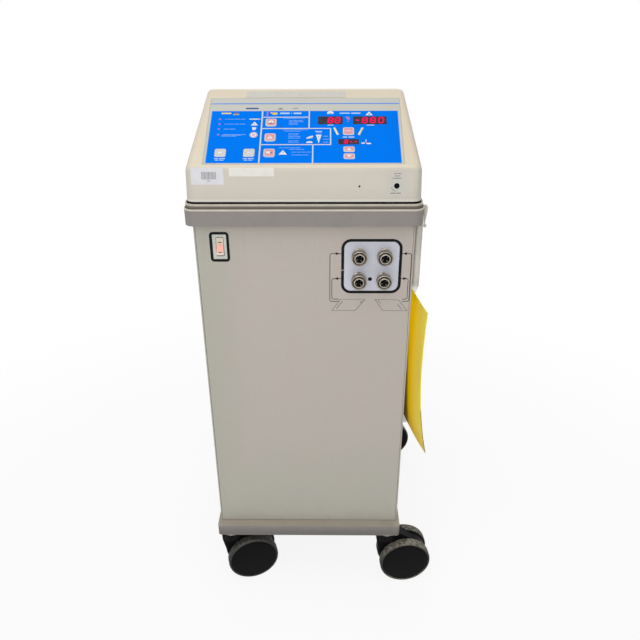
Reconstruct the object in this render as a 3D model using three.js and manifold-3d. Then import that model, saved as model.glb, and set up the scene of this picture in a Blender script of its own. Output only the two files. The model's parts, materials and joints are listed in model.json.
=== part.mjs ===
// A hospital hot and cold water therapy machine on casters, in millimetres.
// Z is up and the front faces -Y. The origin is on the floor, under the middle of the machine's box.
import * as THREE from 'three';
import { mergeVertices } from 'three/addons/utils/BufferGeometryUtils.js';
import { ConvexGeometry } from 'three/addons/geometries/ConvexGeometry.js';
import Module from 'manifold-3d';

const wasm = await Module();
wasm.setup();

// Clearances that every piece shares, how far a cut runs past what it cuts, and how close points merge
const gap = 0.3;
const running = 0.4;
const overrun = 3;
const mergeDistance = 1e-4;

// Casters: twin wheels each side of a hood that turns on a stem
const caster = {
  height: 122, wheelRadius: 50, wheelWidth: 17, hoodWidth: 22, wheelGap: 0.5,
  trail: 36, inset: 23, hoodDrop: 4, axleRadius: 6, axleReach: 12,
  turretRadius: 21, turretHeight: 15, treadEdge: 1.5, discDrop: 3, discInset: 1.5,
  fenderRearAngle: 202, fenderFrontAngle: 68,
  flangeRadius: 21, flangeHeight: 5, shankRadius: 6, shankLength: 14, spigotRadius: 8, spigotLength: 11,
  sides: 20,
};

// Base plate: a tray turned upside down that stands out round the cabinet, with a boss for each caster
const base = {
  height: 23, wall: 4, corner: 6, step: 17, sideStep: 5, bossRadius: 24,
};

// Cabinet: a bent sheet shell with a flat front panel set in between its edges
const cabinet = {
  width: 342, depth: 399, height: 608, wall: 2.5, returnWidth: 16, shelfHeight: 330, shelfWidth: 22,
  shelfLead: 8, ventMargin: 36, ventBottom: 30, ventHeight: 510,
};
const panel = { thickness: 1.8, seam: 0.5 };
const rear = {
  margin: 13, height: 560, bottom: 14, thickness: 2, corner: 6,
  slotWidth: 96, slotHeight: 8, slotPitch: 20, slotCount: 10, slotBottom: 44, columnSpacing: 128,
};
const inlet = {
  width: 48, height: 28, depth: 24, inset: 54, drop: 90, wall: 4, lip: 4, lipThickness: 2,
  pin: 2, pinHeight: 4, pinPitch: 12, pinLength: 10,
};

// Collar: the bumper ring round the top of the cabinet
const collar = {
  sideStep: 10, height: 24.7, overlap: 3.5, corner: 16, ledge: 22,
  beadWidth: 1.4, beadHeight: 1.5, lipWidth: 2.2, lipHeight: 8,
};

// Head: a moulded hood whose side view has a front face, a slope, a crest and a falling top
const head = {
  shoulderInset: 1, crestInset: 18, rearInset: 12, wall: 3,
  front: 9.2, shoulderFront: 0.5, shoulderRise: 60.7, crestBack: 146, crestRise: 151.2,
  rearStep: 8, rearLean: 11, rearTopRise: 110,
  corner: 14, shoulderRadius: 12, crestRadius: 10, rearRadius: 18,
};

// Control face. Places on it are shares of half the overlay's width, across from its middle,
// and of its height, up the slope from its lower edge
const overlay = { margin: 28, height: 144, thickness: 1.2, recess: 1.5, lower: 5.8, corner: 2, ledge: 10 };
const button = { proud: 0.6, body: 3, corner: 3, width: 17, height: 16.5, arrowHeight: 11.5 };
const buttonPlaceShares = {
  alarm_silence_button: [-0.836, 0.163],
  display_test_button: [-0.548, 0.163],
  manual_mode_button: [-0.346, 0.616],
  auto_mode_button: [-0.346, 0.39],
  monitor_mode_button: [-0.346, 0.163],
  set_button: [0.454, 0.479],
  up_button: [0.455, 0.212],
  down_button: [0.455, 0.111],
};
const arrowButtons = ['up_button', 'down_button'];
const greyButtons = ['alarm_silence_button', 'display_test_button'];
const display = { proud: 0.2, body: 2.4, corner: 1 };
const displaySizes = {
  water_display: [37, 16.5],
  patient_display: [51, 16.5],
  setpoint_display: [30, 10.5],
};
const displayPlaceShares = {
  water_display: [0.268, 0.645],
  patient_display: [0.677, 0.645],
  setpoint_display: [0.452, 0.321],
};
const board = {
  margin: 2, upper: 6, thickness: 1.6, depth: 8, lower: 6, postRadius: 3, postInset: 3.4,
  chip: 22, chipHeight: 4, chipPitch: 44,
};
const jack = {
  inset: 39, rise: 34, radius: 4.2, flangeRadius: 5.5, flangeHeight: 1, bore: 2.6, length: 16,
  boreDepth: 13,
};

// Power switch
const powerSwitch = {
  inset: 36.4, drop: 41.9, width: 22.4, height: 41, corner: 2.5, depth: 26, flange: 3, flangeThickness: 2,
  wellWidth: 12.4, wellHeight: 31.4, wellDepth: 14, sideRoom: 0.6, endRoom: 1.7, rockerThickness: 9,
  rockerProud: 1.6, rockerTilt: 8, pivotDepth: 4.5,
};

// Four quick couplings in a plate
const couplingPlate = {
  inset: 63, drop: 75.3, width: 87.4, height: 84.4, corner: 10.5, thickness: 3, flange: 5,
  flangeThickness: 2,
};
const coupling = {
  spacing: 39.6, rise: 40, reach: 20, radius: 8.4, bore: 6.2, boreDepth: 24,
  flangeRadius: 11, flangeHeight: 3, sleeveRadius: 11.5, sleeveLength: 12, sleeveSetback: 1.2,
  lip: 1, tail: 26, tailRadius: 7, poppetRadius: 3, poppetLength: 5, sides: 16,
};

// Water side
const tank = {
  sideRoom: 5.5, depth: 236, height: 170, inletRoom: 23.3, wall: 3, corner: 4,
  neckRadius: 30, neckWall: 2.5, neckInset: 36, neckSides: 16, rimDrop: 14,
};
const cap = {
  clearance: 0.6, skirtRoom: 0.5, skirtLength: 10, skirtWall: 2, gripWidth: 9, gripHeight: 7, plateHeight: 5,
};
const heater = { inset: 93, rise: 22, radius: 8, length: 150, headRadius: 17, headLength: 12, sides: 6 };
const pump = {
  sideRoom: 28.5, y: 84, footWidth: 84, footDepth: 124, footHeight: 4, axisRise: 54,
  motorRadius: 36, motorLength: 78, voluteRadius: 44, voluteLength: 32, portRadius: 9, portRise: 34,
  saddleWidth: 40, saddleDepth: 70,
};

// Cooling side
const compressor = {
  sideRoom: 8.5, y: 128, footRadius: 76, footHeight: 4, radius: 68, height: 186, domeHeight: 34,
  neckInset: 8, neckHeight: 11,
};
const condenser = {
  width: 264, depth: 40, height: 226, rearGap: 6, plate: 3, fins: 14, finWidth: 2.4, core: 16,
};
const fan = {
  rise: 116, radius: 96, hubRadius: 22, hubLength: 14, blades: 5, bladeThickness: 2, bladeWidth: 32,
  bladePitch: 32, motorRadius: 36, motorLength: 54, shaftRadius: 4, standWidth: 52, standThickness: 8,
  footDepth: 60, footHeight: 4, clearance: 10,
};
const supply = { sideRoom: 8.5, y: 226, width: 64, depth: 124, height: 178, lidOverhang: 1.5, lidHeight: 12 };

// Document pocket on the right side, its hook over the collar, and the folder in it
const pocket = {
  front: 5, width: 240, top: 5, sheet: 1.2, hem: 12, hemLength: 104, hemTaper: 14, bottom: 290,
  pouchFront: 122, pouchHeight: 120, weld: 4,
};
const folder = {
  front: 20, height: 290, leaf: 1.2, rearRoom: 4.6, spread: 28, sag: 4, cornerFlare: 16, spineDepth: 1.6,
  rows: 8,
};
const hook = { y: 2, width: 5, thickness: 2, standOff: 2.5, knobRadius: 2.6, knobDrop: 5 };

// Heights and places that follow from these
const baseTop = caster.height + base.height;
const cabinetBottom = baseTop + gap;
const cabinetTop = cabinetBottom + cabinet.height;
const collarBottom = cabinetTop - collar.overlap;
const collarTop = collarBottom + collar.height;
const headBottom = collarTop + gap;
const halfCabinet = cabinet.width / 2;
const innerWall = halfCabinet - cabinet.wall;
const halfBase = halfCabinet + base.sideStep;
const halfCollar = halfCabinet + collar.sideStep;
const lipInner = halfCollar - collar.beadWidth - collar.lipWidth;
const halfHead = lipInner - running;
const machineBack = cabinet.depth + base.step;
const headBack = cabinet.depth + head.rearStep;
const headTopBack = headBack - head.rearLean;
const overlayWidth = 2 * (halfHead - overlay.margin);
const boardWidth = overlayWidth - 2 * board.margin;
const boardHeight = overlay.height - board.lower - board.upper;
const jackX = halfHead - jack.inset;
const panelHalf = innerWall - panel.seam;
const switchX = powerSwitch.inset - panelHalf;
const switchZ = cabinetTop - powerSwitch.drop;
const plateX = panelHalf - couplingPlate.inset;
const plateZ = cabinetTop - couplingPlate.drop;
const rearHalf = halfCabinet - rear.margin;
const inletX = inlet.inset - rearHalf;
const rearFront = cabinet.depth + gap;
const inletFront = rearFront + rear.thickness - inlet.depth;
const tankBack = inletFront - tank.inletRoom;
const tankFront = tankBack - tank.depth;
const neckBack = tankBack - tank.neckInset;
const tankWidth = 2 * (innerWall - tank.sideRoom);
const heaterX = heater.inset - tankWidth / 2;
const pumpX = innerWall - pump.footWidth / 2 - pump.sideRoom;
const compressorX = compressor.sideRoom + compressor.footRadius - innerWall;
const supplyX = innerWall - supply.width / 2 - supply.sideRoom;
const spineBack = pocket.front + pocket.width - pocket.sheet - folder.rearRoom - folder.leaf;
const degrees = Math.PI / 180;

const finish = {
  taupe: new THREE.MeshStandardMaterial({ color: 0x9a938b, roughness: 0.75 }),
  beige: new THREE.MeshStandardMaterial({ color: 0xb9b5a6, roughness: 0.55 }),
  ivory: new THREE.MeshStandardMaterial({ color: 0xd3c8b4, roughness: 0.55 }),
  blue: new THREE.MeshStandardMaterial({ color: 0x0a6fe0, roughness: 0.4 }),
  pink: new THREE.MeshStandardMaterial({ color: 0xe6949a, roughness: 0.45 }),
  grey: new THREE.MeshStandardMaterial({ color: 0xcfcfca, roughness: 0.45 }),
  dark: new THREE.MeshStandardMaterial({ color: 0x2a1418, roughness: 0.2 }),
  white: new THREE.MeshStandardMaterial({ color: 0xd9dae2, roughness: 0.4 }),
  black: new THREE.MeshStandardMaterial({ color: 0x1b1b1d, roughness: 0.6 }),
  rubber: new THREE.MeshStandardMaterial({ color: 0x3a3834, roughness: 0.85 }),
  nickel: new THREE.MeshStandardMaterial({ color: 0xa8a294, roughness: 0.3, metalness: 1 }),
  steel: new THREE.MeshStandardMaterial({ color: 0x9c9c9c, roughness: 0.4, metalness: 0.8 }),
  vinyl: new THREE.MeshStandardMaterial({ color: 0xd8d4c6, roughness: 0.35 }),
  yellow: new THREE.MeshStandardMaterial({ color: 0xd0b030, roughness: 0.6 }),
  green: new THREE.MeshStandardMaterial({ color: 0x2c6b3c, roughness: 0.6 }),
  plastic: new THREE.MeshStandardMaterial({ color: 0xe4e2da, roughness: 0.4 }),
};

// Shape and solid helpers

function roundedRect(x0, y0, x1, y1, radius) {
  const shape = new THREE.Shape();
  const quarter = Math.PI / 2;
  shape.absarc(x1 - radius, y0 + radius, radius, -quarter, 0);
  shape.absarc(x1 - radius, y1 - radius, radius, 0, quarter);
  shape.absarc(x0 + radius, y1 - radius, radius, quarter, 2 * quarter);
  shape.absarc(x0 + radius, y0 + radius, radius, 2 * quarter, 3 * quarter);
  return shape;
}

function centredRect(width, height, radius) {
  return roundedRect(-width / 2, -height / 2, width / 2, height / 2, radius);
}

function outline(points) {
  return new THREE.Shape(points.map(([x, y]) => new THREE.Vector2(x, y)));
}

// A slab of the shape from z = 0 up to the height
function slab(shape, height, curveSegments = 3) {
  return new THREE.ExtrudeGeometry(shape, { depth: height, bevelEnabled: false, curveSegments });
}

// The same slab lying against the front panel: the shape's y is the machine's z, from y = front to y = back
function frontSlab(shape, front, back, curveSegments = 3) {
  return slab(shape, back - front, curveSegments).rotateX(Math.PI / 2).translate(0, back, 0);
}

function block(width, depth, height) {
  return new THREE.BoxGeometry(width, depth, height);
}

// A box from its low corner to its high corner
function boxBetween(low, high) {
  const size = high.map((value, i) => value - low[i]);
  const middle = high.map((value, i) => (value + low[i]) / 2);
  return new THREE.BoxGeometry(...size).translate(...middle);
}

// A turned piece about Z from [radius, height] points that go up the outside
function turned(profile, sides = 16) {
  const points = profile.map(([radius, height]) => new THREE.Vector2(radius, height));
  return new THREE.LatheGeometry(points, sides).rotateX(Math.PI / 2);
}

// A plain rod about Z from z = low to z = high
function rod(radius, low, high, sides = 16) {
  return turned([[0, low], [radius, low], [radius, high], [0, high]], sides);
}

function solid(geometry) {
  const bare = geometry.clone();
  bare.deleteAttribute('normal');
  bare.deleteAttribute('uv');
  const merged = mergeVertices(bare, mergeDistance);
  return new wasm.Manifold(new wasm.Mesh({
    numProp: 3,
    vertProperties: new Float32Array(merged.attributes.position.array),
    triVerts: new Uint32Array(merged.index.array),
  }));
}

function join(...geometries) {
  return geometries.map(solid).reduce((sum, next) => sum.add(next));
}

function cut(body, ...tools) {
  return tools.reduce((rest, tool) => rest.subtract(solid(tool)), body);
}

function geometryOf(body) {
  const mesh = body.getMesh();
  const geometry = new THREE.BufferGeometry();
  geometry.setAttribute('position', new THREE.BufferAttribute(new Float32Array(mesh.vertProperties), 3));
  geometry.setIndex(new THREE.BufferAttribute(new Uint32Array(mesh.triVerts), 1));
  geometry.computeVertexNormals();
  return geometry;
}

function piece(parent, name, material, body) {
  const geometry = body.isBufferGeometry ? body : geometryOf(body);
  const mesh = new THREE.Mesh(geometry, material);
  mesh.name = name;
  parent.add(mesh);
  return mesh;
}

function place(parent, x, y, z) {
  const group = new THREE.Group();
  group.position.set(x, y, z);
  parent.add(group);
  return group;
}

const machine = new THREE.Group();

// Casters

const casterPlaces = {
  front_right: { side: 1, y: caster.inset - base.step, yaw: 6 },
  front_left: { side: -1, y: caster.inset - base.step, yaw: 16 },
  rear_right: { side: 1, y: machineBack - caster.inset, yaw: 12 },
  rear_left: { side: -1, y: machineBack - caster.inset, yaw: 15 },
};
const casterX = halfBase - caster.inset;

// The wheel's flats are tangent to its true radius, and one of them lies on the floor
function wheelGeometry() {
  const rim = 1 / Math.cos(Math.PI / caster.sides);
  const boreRadius = caster.axleRadius + running;
  const boreDepth = caster.axleReach + running;
  const discRadius = caster.wheelRadius - caster.discInset;
  const profile = [
    [0, boreDepth],
    [boreRadius, boreDepth],
    [boreRadius, 0],
    [discRadius * rim, 0],
    [caster.wheelRadius * rim, caster.treadEdge],
    [caster.wheelRadius * rim, caster.wheelWidth - caster.discDrop],
    [discRadius * rim, caster.wheelWidth],
    [0, caster.wheelWidth],
  ];
  return turned(profile, caster.sides).rotateZ(Math.PI / caster.sides);
}

// The hood's own frame: the stem's axis is Z, the axle lies along Y at +X
function hoodBody() {
  const turretBottom = caster.height - gap - caster.flangeHeight - gap - caster.turretHeight;
  const turretTop = turretBottom + caster.turretHeight;
  const fenderRadius = caster.wheelRadius - caster.hoodDrop;
  const fenderEnd = (caster.fenderFrontAngle + 360) * degrees;
  const fender = new THREE.Shape();
  fender.moveTo(-caster.turretRadius, turretTop - caster.wheelRadius);
  fender.lineTo(-caster.turretRadius, turretBottom - caster.wheelRadius);
  fender.absarc(caster.trail, 0, fenderRadius, caster.fenderRearAngle * degrees, fenderEnd);
  fender.lineTo(caster.turretRadius, turretTop - caster.wheelRadius);
  const web = slab(fender, caster.hoodWidth, 14).rotateX(Math.PI / 2)
    .translate(0, caster.hoodWidth / 2, caster.wheelRadius);
  const turret = rod(caster.turretRadius, turretBottom, turretTop, 20);
  const halfAxle = caster.hoodWidth / 2 + caster.wheelGap + caster.axleReach;
  const axle = rod(caster.axleRadius, -halfAxle, halfAxle).rotateX(Math.PI / 2)
    .translate(caster.trail, 0, caster.wheelRadius);
  const socketFloor = turretTop - caster.spigotLength - gap;
  const socket = rod(caster.spigotRadius + running, socketFloor, turretTop + overrun);
  return cut(join(web, turret, axle), socket);
}

function stemGeometry() {
  const flangeTop = caster.height - gap;
  const flangeBottom = flangeTop - caster.flangeHeight;
  return turned([
    [0, flangeBottom - caster.spigotLength],
    [caster.spigotRadius, flangeBottom - caster.spigotLength],
    [caster.spigotRadius, flangeBottom],
    [caster.flangeRadius, flangeBottom],
    [caster.flangeRadius, flangeTop],
    [caster.shankRadius, flangeTop],
    [caster.shankRadius, flangeTop + caster.shankLength],
    [0, flangeTop + caster.shankLength],
  ], 12);
}

for (const [corner, { side, y, yaw }] of Object.entries(casterPlaces)) {
  const mount = place(machine, side * casterX, y, 0);
  piece(mount, `caster_stem_${corner}`, finish.steel, stemGeometry());
  const swivel = place(mount, 0, 0, 0);
  swivel.rotation.z = yaw * degrees;
  piece(swivel, `caster_hood_${corner}`, finish.black, hoodBody());
  const wheelSeat = caster.hoodWidth / 2 + caster.wheelGap;
  for (const [name, direction] of [['a', -1], ['b', 1]]) {
    const wheel = piece(swivel, `caster_wheel_${corner}_${name}`, finish.rubber, wheelGeometry());
    wheel.position.set(caster.trail, direction * wheelSeat, caster.wheelRadius);
    wheel.rotation.x = -direction * Math.PI / 2;
  }
}

// Base plate

const casterSpots = Object.values(casterPlaces).map(({ side, y }) => [side * casterX, y]);
const baseBlank = solid(
  slab(roundedRect(-halfBase, -base.step, halfBase, machineBack, base.corner), base.height)
    .translate(0, 0, caster.height),
);
const hollowShape = roundedRect(
  base.wall - halfBase, base.wall - base.step, halfBase - base.wall, machineBack - base.wall, base.corner,
);
const baseHollow = slab(hollowShape, base.height - base.wall + overrun)
  .translate(0, 0, caster.height - overrun);
const bosses = casterSpots.map(([x, y]) => (
  rod(base.bossRadius, caster.height, baseTop - base.wall / 2).translate(x, y, 0)
));
const shankHoles = casterSpots.map(([x, y]) => rod(
  caster.shankRadius + gap, caster.height - overrun, caster.height + caster.shankLength + gap, 12,
).translate(x, y, 0));
const trimmedBosses = join(...bosses).intersect(baseBlank);
piece(machine, 'base_plate', finish.taupe, cut(cut(baseBlank, baseHollow).add(trimmedBosses), ...shankHoles));

// Cabinet shell: outline of the bent sheet, mirrored about the middle

const innerBack = cabinet.depth - cabinet.wall;
const returnFront = panel.thickness + gap;
const returnInner = halfCabinet - cabinet.returnWidth;
const rightHalf = [
  [innerWall, 0],
  [innerWall, returnFront],
  [returnInner, returnFront],
  [returnInner, returnFront + cabinet.wall],
  [innerWall, returnFront + cabinet.wall],
  [innerWall, innerBack],
];
const leftHalf = rightHalf.map(([x, y]) => [-x, y]);
const shellOutline = outline([
  [halfCabinet, cabinet.depth], [-halfCabinet, cabinet.depth], [-halfCabinet, 0],
  ...leftHalf, ...rightHalf.reverse(), [halfCabinet, 0],
]);
const shellSheet = solid(slab(shellOutline, cabinet.height).translate(0, 0, cabinetBottom));
const ventHalf = halfCabinet - cabinet.ventMargin;
const ventHole = boxBetween(
  [-ventHalf, innerBack - overrun, cabinetBottom + cabinet.ventBottom],
  [ventHalf, cabinet.depth + overrun, cabinetBottom + cabinet.ventBottom + cabinet.ventHeight],
);
const shelfTop = cabinetBottom + cabinet.shelfHeight;
const shelfReach = cabinet.shelfWidth + cabinet.wall / 2;
const shelves = [-1, 1].map((side) => boxBetween(
  [-shelfReach / 2, tankFront - cabinet.shelfLead, shelfTop - cabinet.wall],
  [shelfReach / 2, innerBack, shelfTop],
).translate(side * (innerWall + cabinet.wall / 2 - shelfReach / 2), 0, 0));
piece(machine, 'cabinet_shell', finish.beige, cut(shellSheet.add(join(...shelves)), ventHole));

// Front panel with its two openings

const panelSheet = boxBetween(
  [-panelHalf, 0, cabinetBottom + panel.seam], [panelHalf, panel.thickness, cabinetTop],
);
function panelHole({ width, height, corner }, x, z) {
  const shape = centredRect(width + 2 * gap, height + 2 * gap, corner + gap);
  return frontSlab(shape, -overrun, panel.thickness + overrun).translate(x, 0, z);
}
const switchHole = panelHole(powerSwitch, switchX, switchZ);
const plateHole = panelHole(couplingPlate, plateX, plateZ);
piece(machine, 'front_panel', finish.beige, cut(solid(panelSheet), switchHole, plateHole));

// Rear panel with two columns of louvre slots and the inlet's hole

const rearBottom = cabinetBottom + rear.bottom;
const inletZ = rearBottom + rear.height - inlet.drop;
const rearMiddle = rearBottom + rear.height / 2;
const cutDepth = rear.thickness + 2 * overrun;
const slots = [];
for (let row = 0; row < rear.slotCount; row += 1) {
  for (const side of [-1, 1]) {
    const z = rearBottom + rear.slotBottom + row * rear.slotPitch;
    slots.push(block(rear.slotWidth, cutDepth, rear.slotHeight)
      .translate(side * rear.columnSpacing / 2, rearFront + rear.thickness / 2, z));
  }
}
const inletHole = block(inlet.width + 2 * gap, cutDepth, inlet.height + 2 * gap)
  .translate(inletX, rearFront + rear.thickness / 2, inletZ);
const rearSheet = frontSlab(
  centredRect(2 * rearHalf, rear.height, rear.corner), rearFront, rearFront + rear.thickness,
).translate(0, 0, rearMiddle);
piece(machine, 'rear_panel', finish.beige, cut(solid(rearSheet), inletHole, ...slots));

// Power inlet: a socket with three pins, its lip on the rear panel
{
  const back = rearFront + rear.thickness;
  const housing = boxBetween(
    [-inlet.width / 2, inletFront, -inlet.height / 2],
    [inlet.width / 2, back + inlet.lipThickness, inlet.height / 2],
  );
  const lip = boxBetween(
    [-inlet.width / 2 - inlet.lip, back + gap, -inlet.height / 2 - inlet.lip],
    [inlet.width / 2 + inlet.lip, back + inlet.lipThickness, inlet.height / 2 + inlet.lip],
  );
  const wellFloor = inletFront + inlet.wall;
  const well = boxBetween(
    [inlet.wall - inlet.width / 2, wellFloor, inlet.wall - inlet.height / 2],
    [inlet.width / 2 - inlet.wall, back + overrun + inlet.lipThickness, inlet.height / 2 - inlet.wall],
  );
  const pins = [-1, 0, 1].map((i) => block(inlet.pin, inlet.pinLength, inlet.pinHeight)
    .translate(i * inlet.pinPitch, wellFloor + inlet.pinLength / 2 - gap, 0));
  const body = cut(join(housing, lip), well).add(join(...pins));
  piece(machine, 'power_inlet', finish.black, body).position.set(inletX, 0, inletZ);
}

// Collar: a band with a ledge over the cabinet's edge, a bead at its outer edge and a lip round the head

function ring(outer, inner, low, high) {
  return cut(solid(slab(outer, high - low, 4).translate(0, 0, low)), slab(inner, high - low + 2 * overrun, 4)
    .translate(0, 0, low - overrun));
}

{
  const outer = roundedRect(-halfCollar, -base.step, halfCollar, machineBack, collar.corner);
  const skirtBack = cabinet.depth + rear.thickness + 2 * gap;
  const skirtInner = roundedRect(-halfCabinet - gap, -gap, halfCabinet + gap, skirtBack, gap);
  const window = roundedRect(collar.ledge - halfCabinet, collar.ledge, halfCabinet - collar.ledge,
    cabinet.depth - collar.ledge, collar.corner);
  const beadInner = roundedRect(collar.beadWidth - halfCollar, collar.beadWidth - base.step,
    halfCollar - collar.beadWidth, machineBack - collar.beadWidth, collar.corner - collar.beadWidth);
  const lipOuter = roundedRect(-lipInner - collar.lipWidth, -head.front - running - collar.lipWidth,
    lipInner + collar.lipWidth, headBack + running + collar.lipWidth, head.corner + collar.lipWidth);
  const lipInside = roundedRect(
    -lipInner, -head.front - running, lipInner, headBack + running, head.corner,
  );
  const skirt = ring(outer, skirtInner, collarBottom, cabinetTop + gap);
  const ledge = ring(outer, window, cabinetTop + gap, collarTop);
  const bead = ring(outer, beadInner, collarTop - collar.beadHeight, collarTop + collar.beadHeight);
  const lip = ring(lipOuter, lipInside, collarTop - collar.beadHeight, collarTop + collar.lipHeight);
  piece(machine, 'top_collar', finish.taupe, skirt.add(ledge).add(bead).add(lip));
}

// Head housing: the convex hull of balls at its rounded corners, less the same hull with smaller balls

const sideView = {
  bottomFront: [-head.front, headBottom],
  shoulder: [-head.shoulderFront, headBottom + head.shoulderRise],
  crest: [head.crestBack, headBottom + head.crestRise],
  rearTop: [headTopBack, headBottom + head.rearTopRise],
  bottomRear: [headBack, headBottom],
};

// The centre of a circle that touches both lines that meet at a corner of the side view
function tuckedCentre(before, corner, after, radius) {
  const a = new THREE.Vector2(before[0] - corner[0], before[1] - corner[1]).normalize();
  const b = new THREE.Vector2(after[0] - corner[0], after[1] - corner[1]).normalize();
  const half = Math.acos(a.dot(b)) / 2;
  const middle = a.clone().add(b).normalize().multiplyScalar(radius / Math.sin(half));
  return [corner[0] + middle.x, corner[1] + middle.y];
}

const footSteps = 16;
function hullOfBalls(shrink, drop) {
  const points = [];
  const { bottomFront, shoulder, crest, rearTop, bottomRear } = sideView;
  const rearShoulder = [
    THREE.MathUtils.lerp(bottomRear[0], rearTop[0], head.shoulderRise / head.rearTopRise), shoulder[1],
  ];
  const frontCentre = tuckedCentre(bottomFront, shoulder, crest, head.shoulderRadius);
  const balls = [
    [frontCentre, head.shoulderInset, head.shoulderRadius],
    [tuckedCentre(shoulder, crest, rearTop, head.crestRadius), head.crestInset, head.crestRadius],
    [tuckedCentre(crest, rearTop, bottomRear, head.rearRadius), head.rearInset, head.rearRadius],
    [[rearShoulder[0] - head.shoulderRadius, rearShoulder[1]], head.shoulderInset, head.shoulderRadius],
  ];
  for (const side of [-1, 1]) {
    for (const [[y, z], inset, radius] of balls) {
      const ball = new THREE.SphereGeometry(radius - shrink, 12, 6)
        .translate(side * (halfHead - inset - radius), y, z);
      for (let i = 0; i < ball.attributes.position.count; i += 1) {
        points.push(new THREE.Vector3().fromBufferAttribute(ball.attributes.position, i));
      }
    }
    const footFront = head.corner - head.front;
    const footRear = headBack - head.corner;
    for (const y of [footFront, footRear]) {
      for (let step = 0; step < footSteps; step += 1) {
        const angle = step * 2 * Math.PI / footSteps;
        points.push(new THREE.Vector3(
          side * (halfHead - head.corner) + Math.cos(angle) * (head.corner - shrink),
          y + Math.sin(angle) * (head.corner - shrink),
          headBottom - drop,
        ));
      }
    }
  }
  return new ConvexGeometry(points);
}

// The slope's own frame: X across, Y up the slope from the overlay's lower edge, Z out of the face
const slopeAngle = Math.atan2(head.crestRise - head.shoulderRise, head.crestBack + head.shoulderFront);
const slopeStart = [
  0,
  sideView.shoulder[0] + overlay.lower * Math.cos(slopeAngle),
  sideView.shoulder[1] + overlay.lower * Math.sin(slopeAngle),
];
function onSlope(geometry) {
  return geometry.rotateX(slopeAngle).translate(...slopeStart);
}
function slopeSlab(shape, low, high) {
  return slab(shape, high - low, 2).translate(0, 0, low);
}

const halfOverlay = overlayWidth / 2;
const overlayShape = roundedRect(-halfOverlay, 0, halfOverlay, overlay.height, overlay.corner);
const overlayHoleShape = roundedRect(
  -halfOverlay - gap, -gap, halfOverlay + gap, overlay.height + gap, overlay.corner,
);
const windowShape = roundedRect(
  overlay.ledge - halfOverlay, overlay.ledge, halfOverlay - overlay.ledge,
  overlay.height - overlay.ledge, overlay.corner,
);

// A spot on the control face: its place worked out from its shares, with its size and corner
function spotOn([xShare, yShare], width, height, corner) {
  return { x: xShare * halfOverlay, y: yShare * overlay.height, width, height, corner };
}
const buttonSpots = Object.entries(buttonPlaceShares).map(([name, shares]) => {
  const height = arrowButtons.includes(name) ? button.arrowHeight : button.height;
  return { name, ...spotOn(shares, button.width, height, button.corner) };
});
const displaySpots = Object.entries(displayPlaceShares).map(([name, shares]) => (
  { name, ...spotOn(shares, ...displaySizes[name], display.corner) }
));

function spotSlab({ x, y, width, height, corner }, grow, low, high) {
  return slopeSlab(centredRect(width + 2 * grow, height + 2 * grow, corner + grow), low, high)
    .translate(x, y, 0);
}

const postRows = [board.lower + board.postInset, board.lower + boardHeight - board.postInset];
const postSpots = [-1, 1].flatMap((side) => (
  postRows.map((y) => [side * (boardWidth / 2 - board.postInset), y])
));

// The front face's own frame: X across, Y up the face from its lower edge, Z out of the face
const faceAngle = Math.atan2(head.shoulderRise, head.front - head.shoulderFront);
function onFace(geometry) {
  return geometry.rotateX(faceAngle).translate(0, -head.front, headBottom);
}

const fillRadius = tank.neckRadius + 2 * cap.clearance + tank.neckWall;
{
  const hood = cut(solid(hullOfBalls(0, 0)), hullOfBalls(head.wall, overrun));
  const posts = postSpots.map(([x, y]) => solid(onSlope(
    rod(board.postRadius, gap - board.depth, -overlay.recess - gap, 8).translate(x, y, 0),
  )));
  const recess = onSlope(slopeSlab(overlayHoleShape, -overlay.recess, overrun));
  const window = onSlope(slopeSlab(windowShape, -head.wall - overrun, overrun));
  const jackHole = onFace(
    rod(jack.radius + gap, -head.wall - overrun, overrun, 16).translate(jackX, jack.rise, 0),
  );
  const fillHole = rod(fillRadius, headBottom, headBottom + head.crestRise + overrun, 24)
    .translate(0, neckBack, 0);
  const open = cut(hood, recess, window, jackHole, fillHole);
  piece(machine, 'head_housing', finish.ivory, posts.reduce((sum, post) => sum.add(post), open));
}

// Control face: the overlay, the buttons, the display windows and the board behind them

const slope = place(machine, ...slopeStart);
slope.rotation.x = slopeAngle;

const wells = [...buttonSpots, ...displaySpots].map((spot) => (
  spotSlab(spot, gap, -overlay.thickness - overrun, overrun)
));
const overlaySheet = solid(slopeSlab(overlayShape, -overlay.thickness, 0));
piece(slope, 'control_overlay', finish.blue, cut(overlaySheet, ...wells));
for (const spot of buttonSpots) {
  const material = greyButtons.includes(spot.name) ? finish.grey : finish.pink;
  piece(slope, spot.name, material, spotSlab(spot, 0, button.proud - button.body, button.proud));
}
for (const spot of displaySpots) {
  piece(slope, spot.name, finish.dark, spotSlab(spot, 0, display.proud - display.body, display.proud));
}
{
  const halfBoard = boardWidth / 2;
  const sheet = boxBetween([-halfBoard, board.lower, -board.depth - board.thickness],
    [halfBoard, board.lower + boardHeight, -board.depth]);
  const chipTop = -board.depth - board.thickness / 2;
  const chips = [-2, -1, 0, 1, 2].map((i) => boxBetween(
    [-board.chip / 2, -board.chip / 2, -board.depth - board.thickness - board.chipHeight],
    [board.chip / 2, board.chip / 2, chipTop],
  ).translate(i * board.chipPitch, board.lower + boardHeight / 2, 0));
  piece(slope, 'control_board', finish.green, join(sheet, ...chips));
}

// Probe jack: a bush through the head's front face
piece(machine, 'probe_jack', finish.black, onFace(turned([
  [0, -jack.length],
  [jack.radius, -jack.length],
  [jack.radius, gap],
  [jack.flangeRadius, gap],
  [jack.flangeRadius, jack.flangeHeight + gap],
  [jack.bore, jack.flangeHeight + gap],
  [jack.bore, -jack.boreDepth],
  [0, -jack.boreDepth],
], 16).translate(jackX, jack.rise, 0)));

// Power switch: a body through the panel with a well, and a lit rocker tilted to its on side

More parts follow.
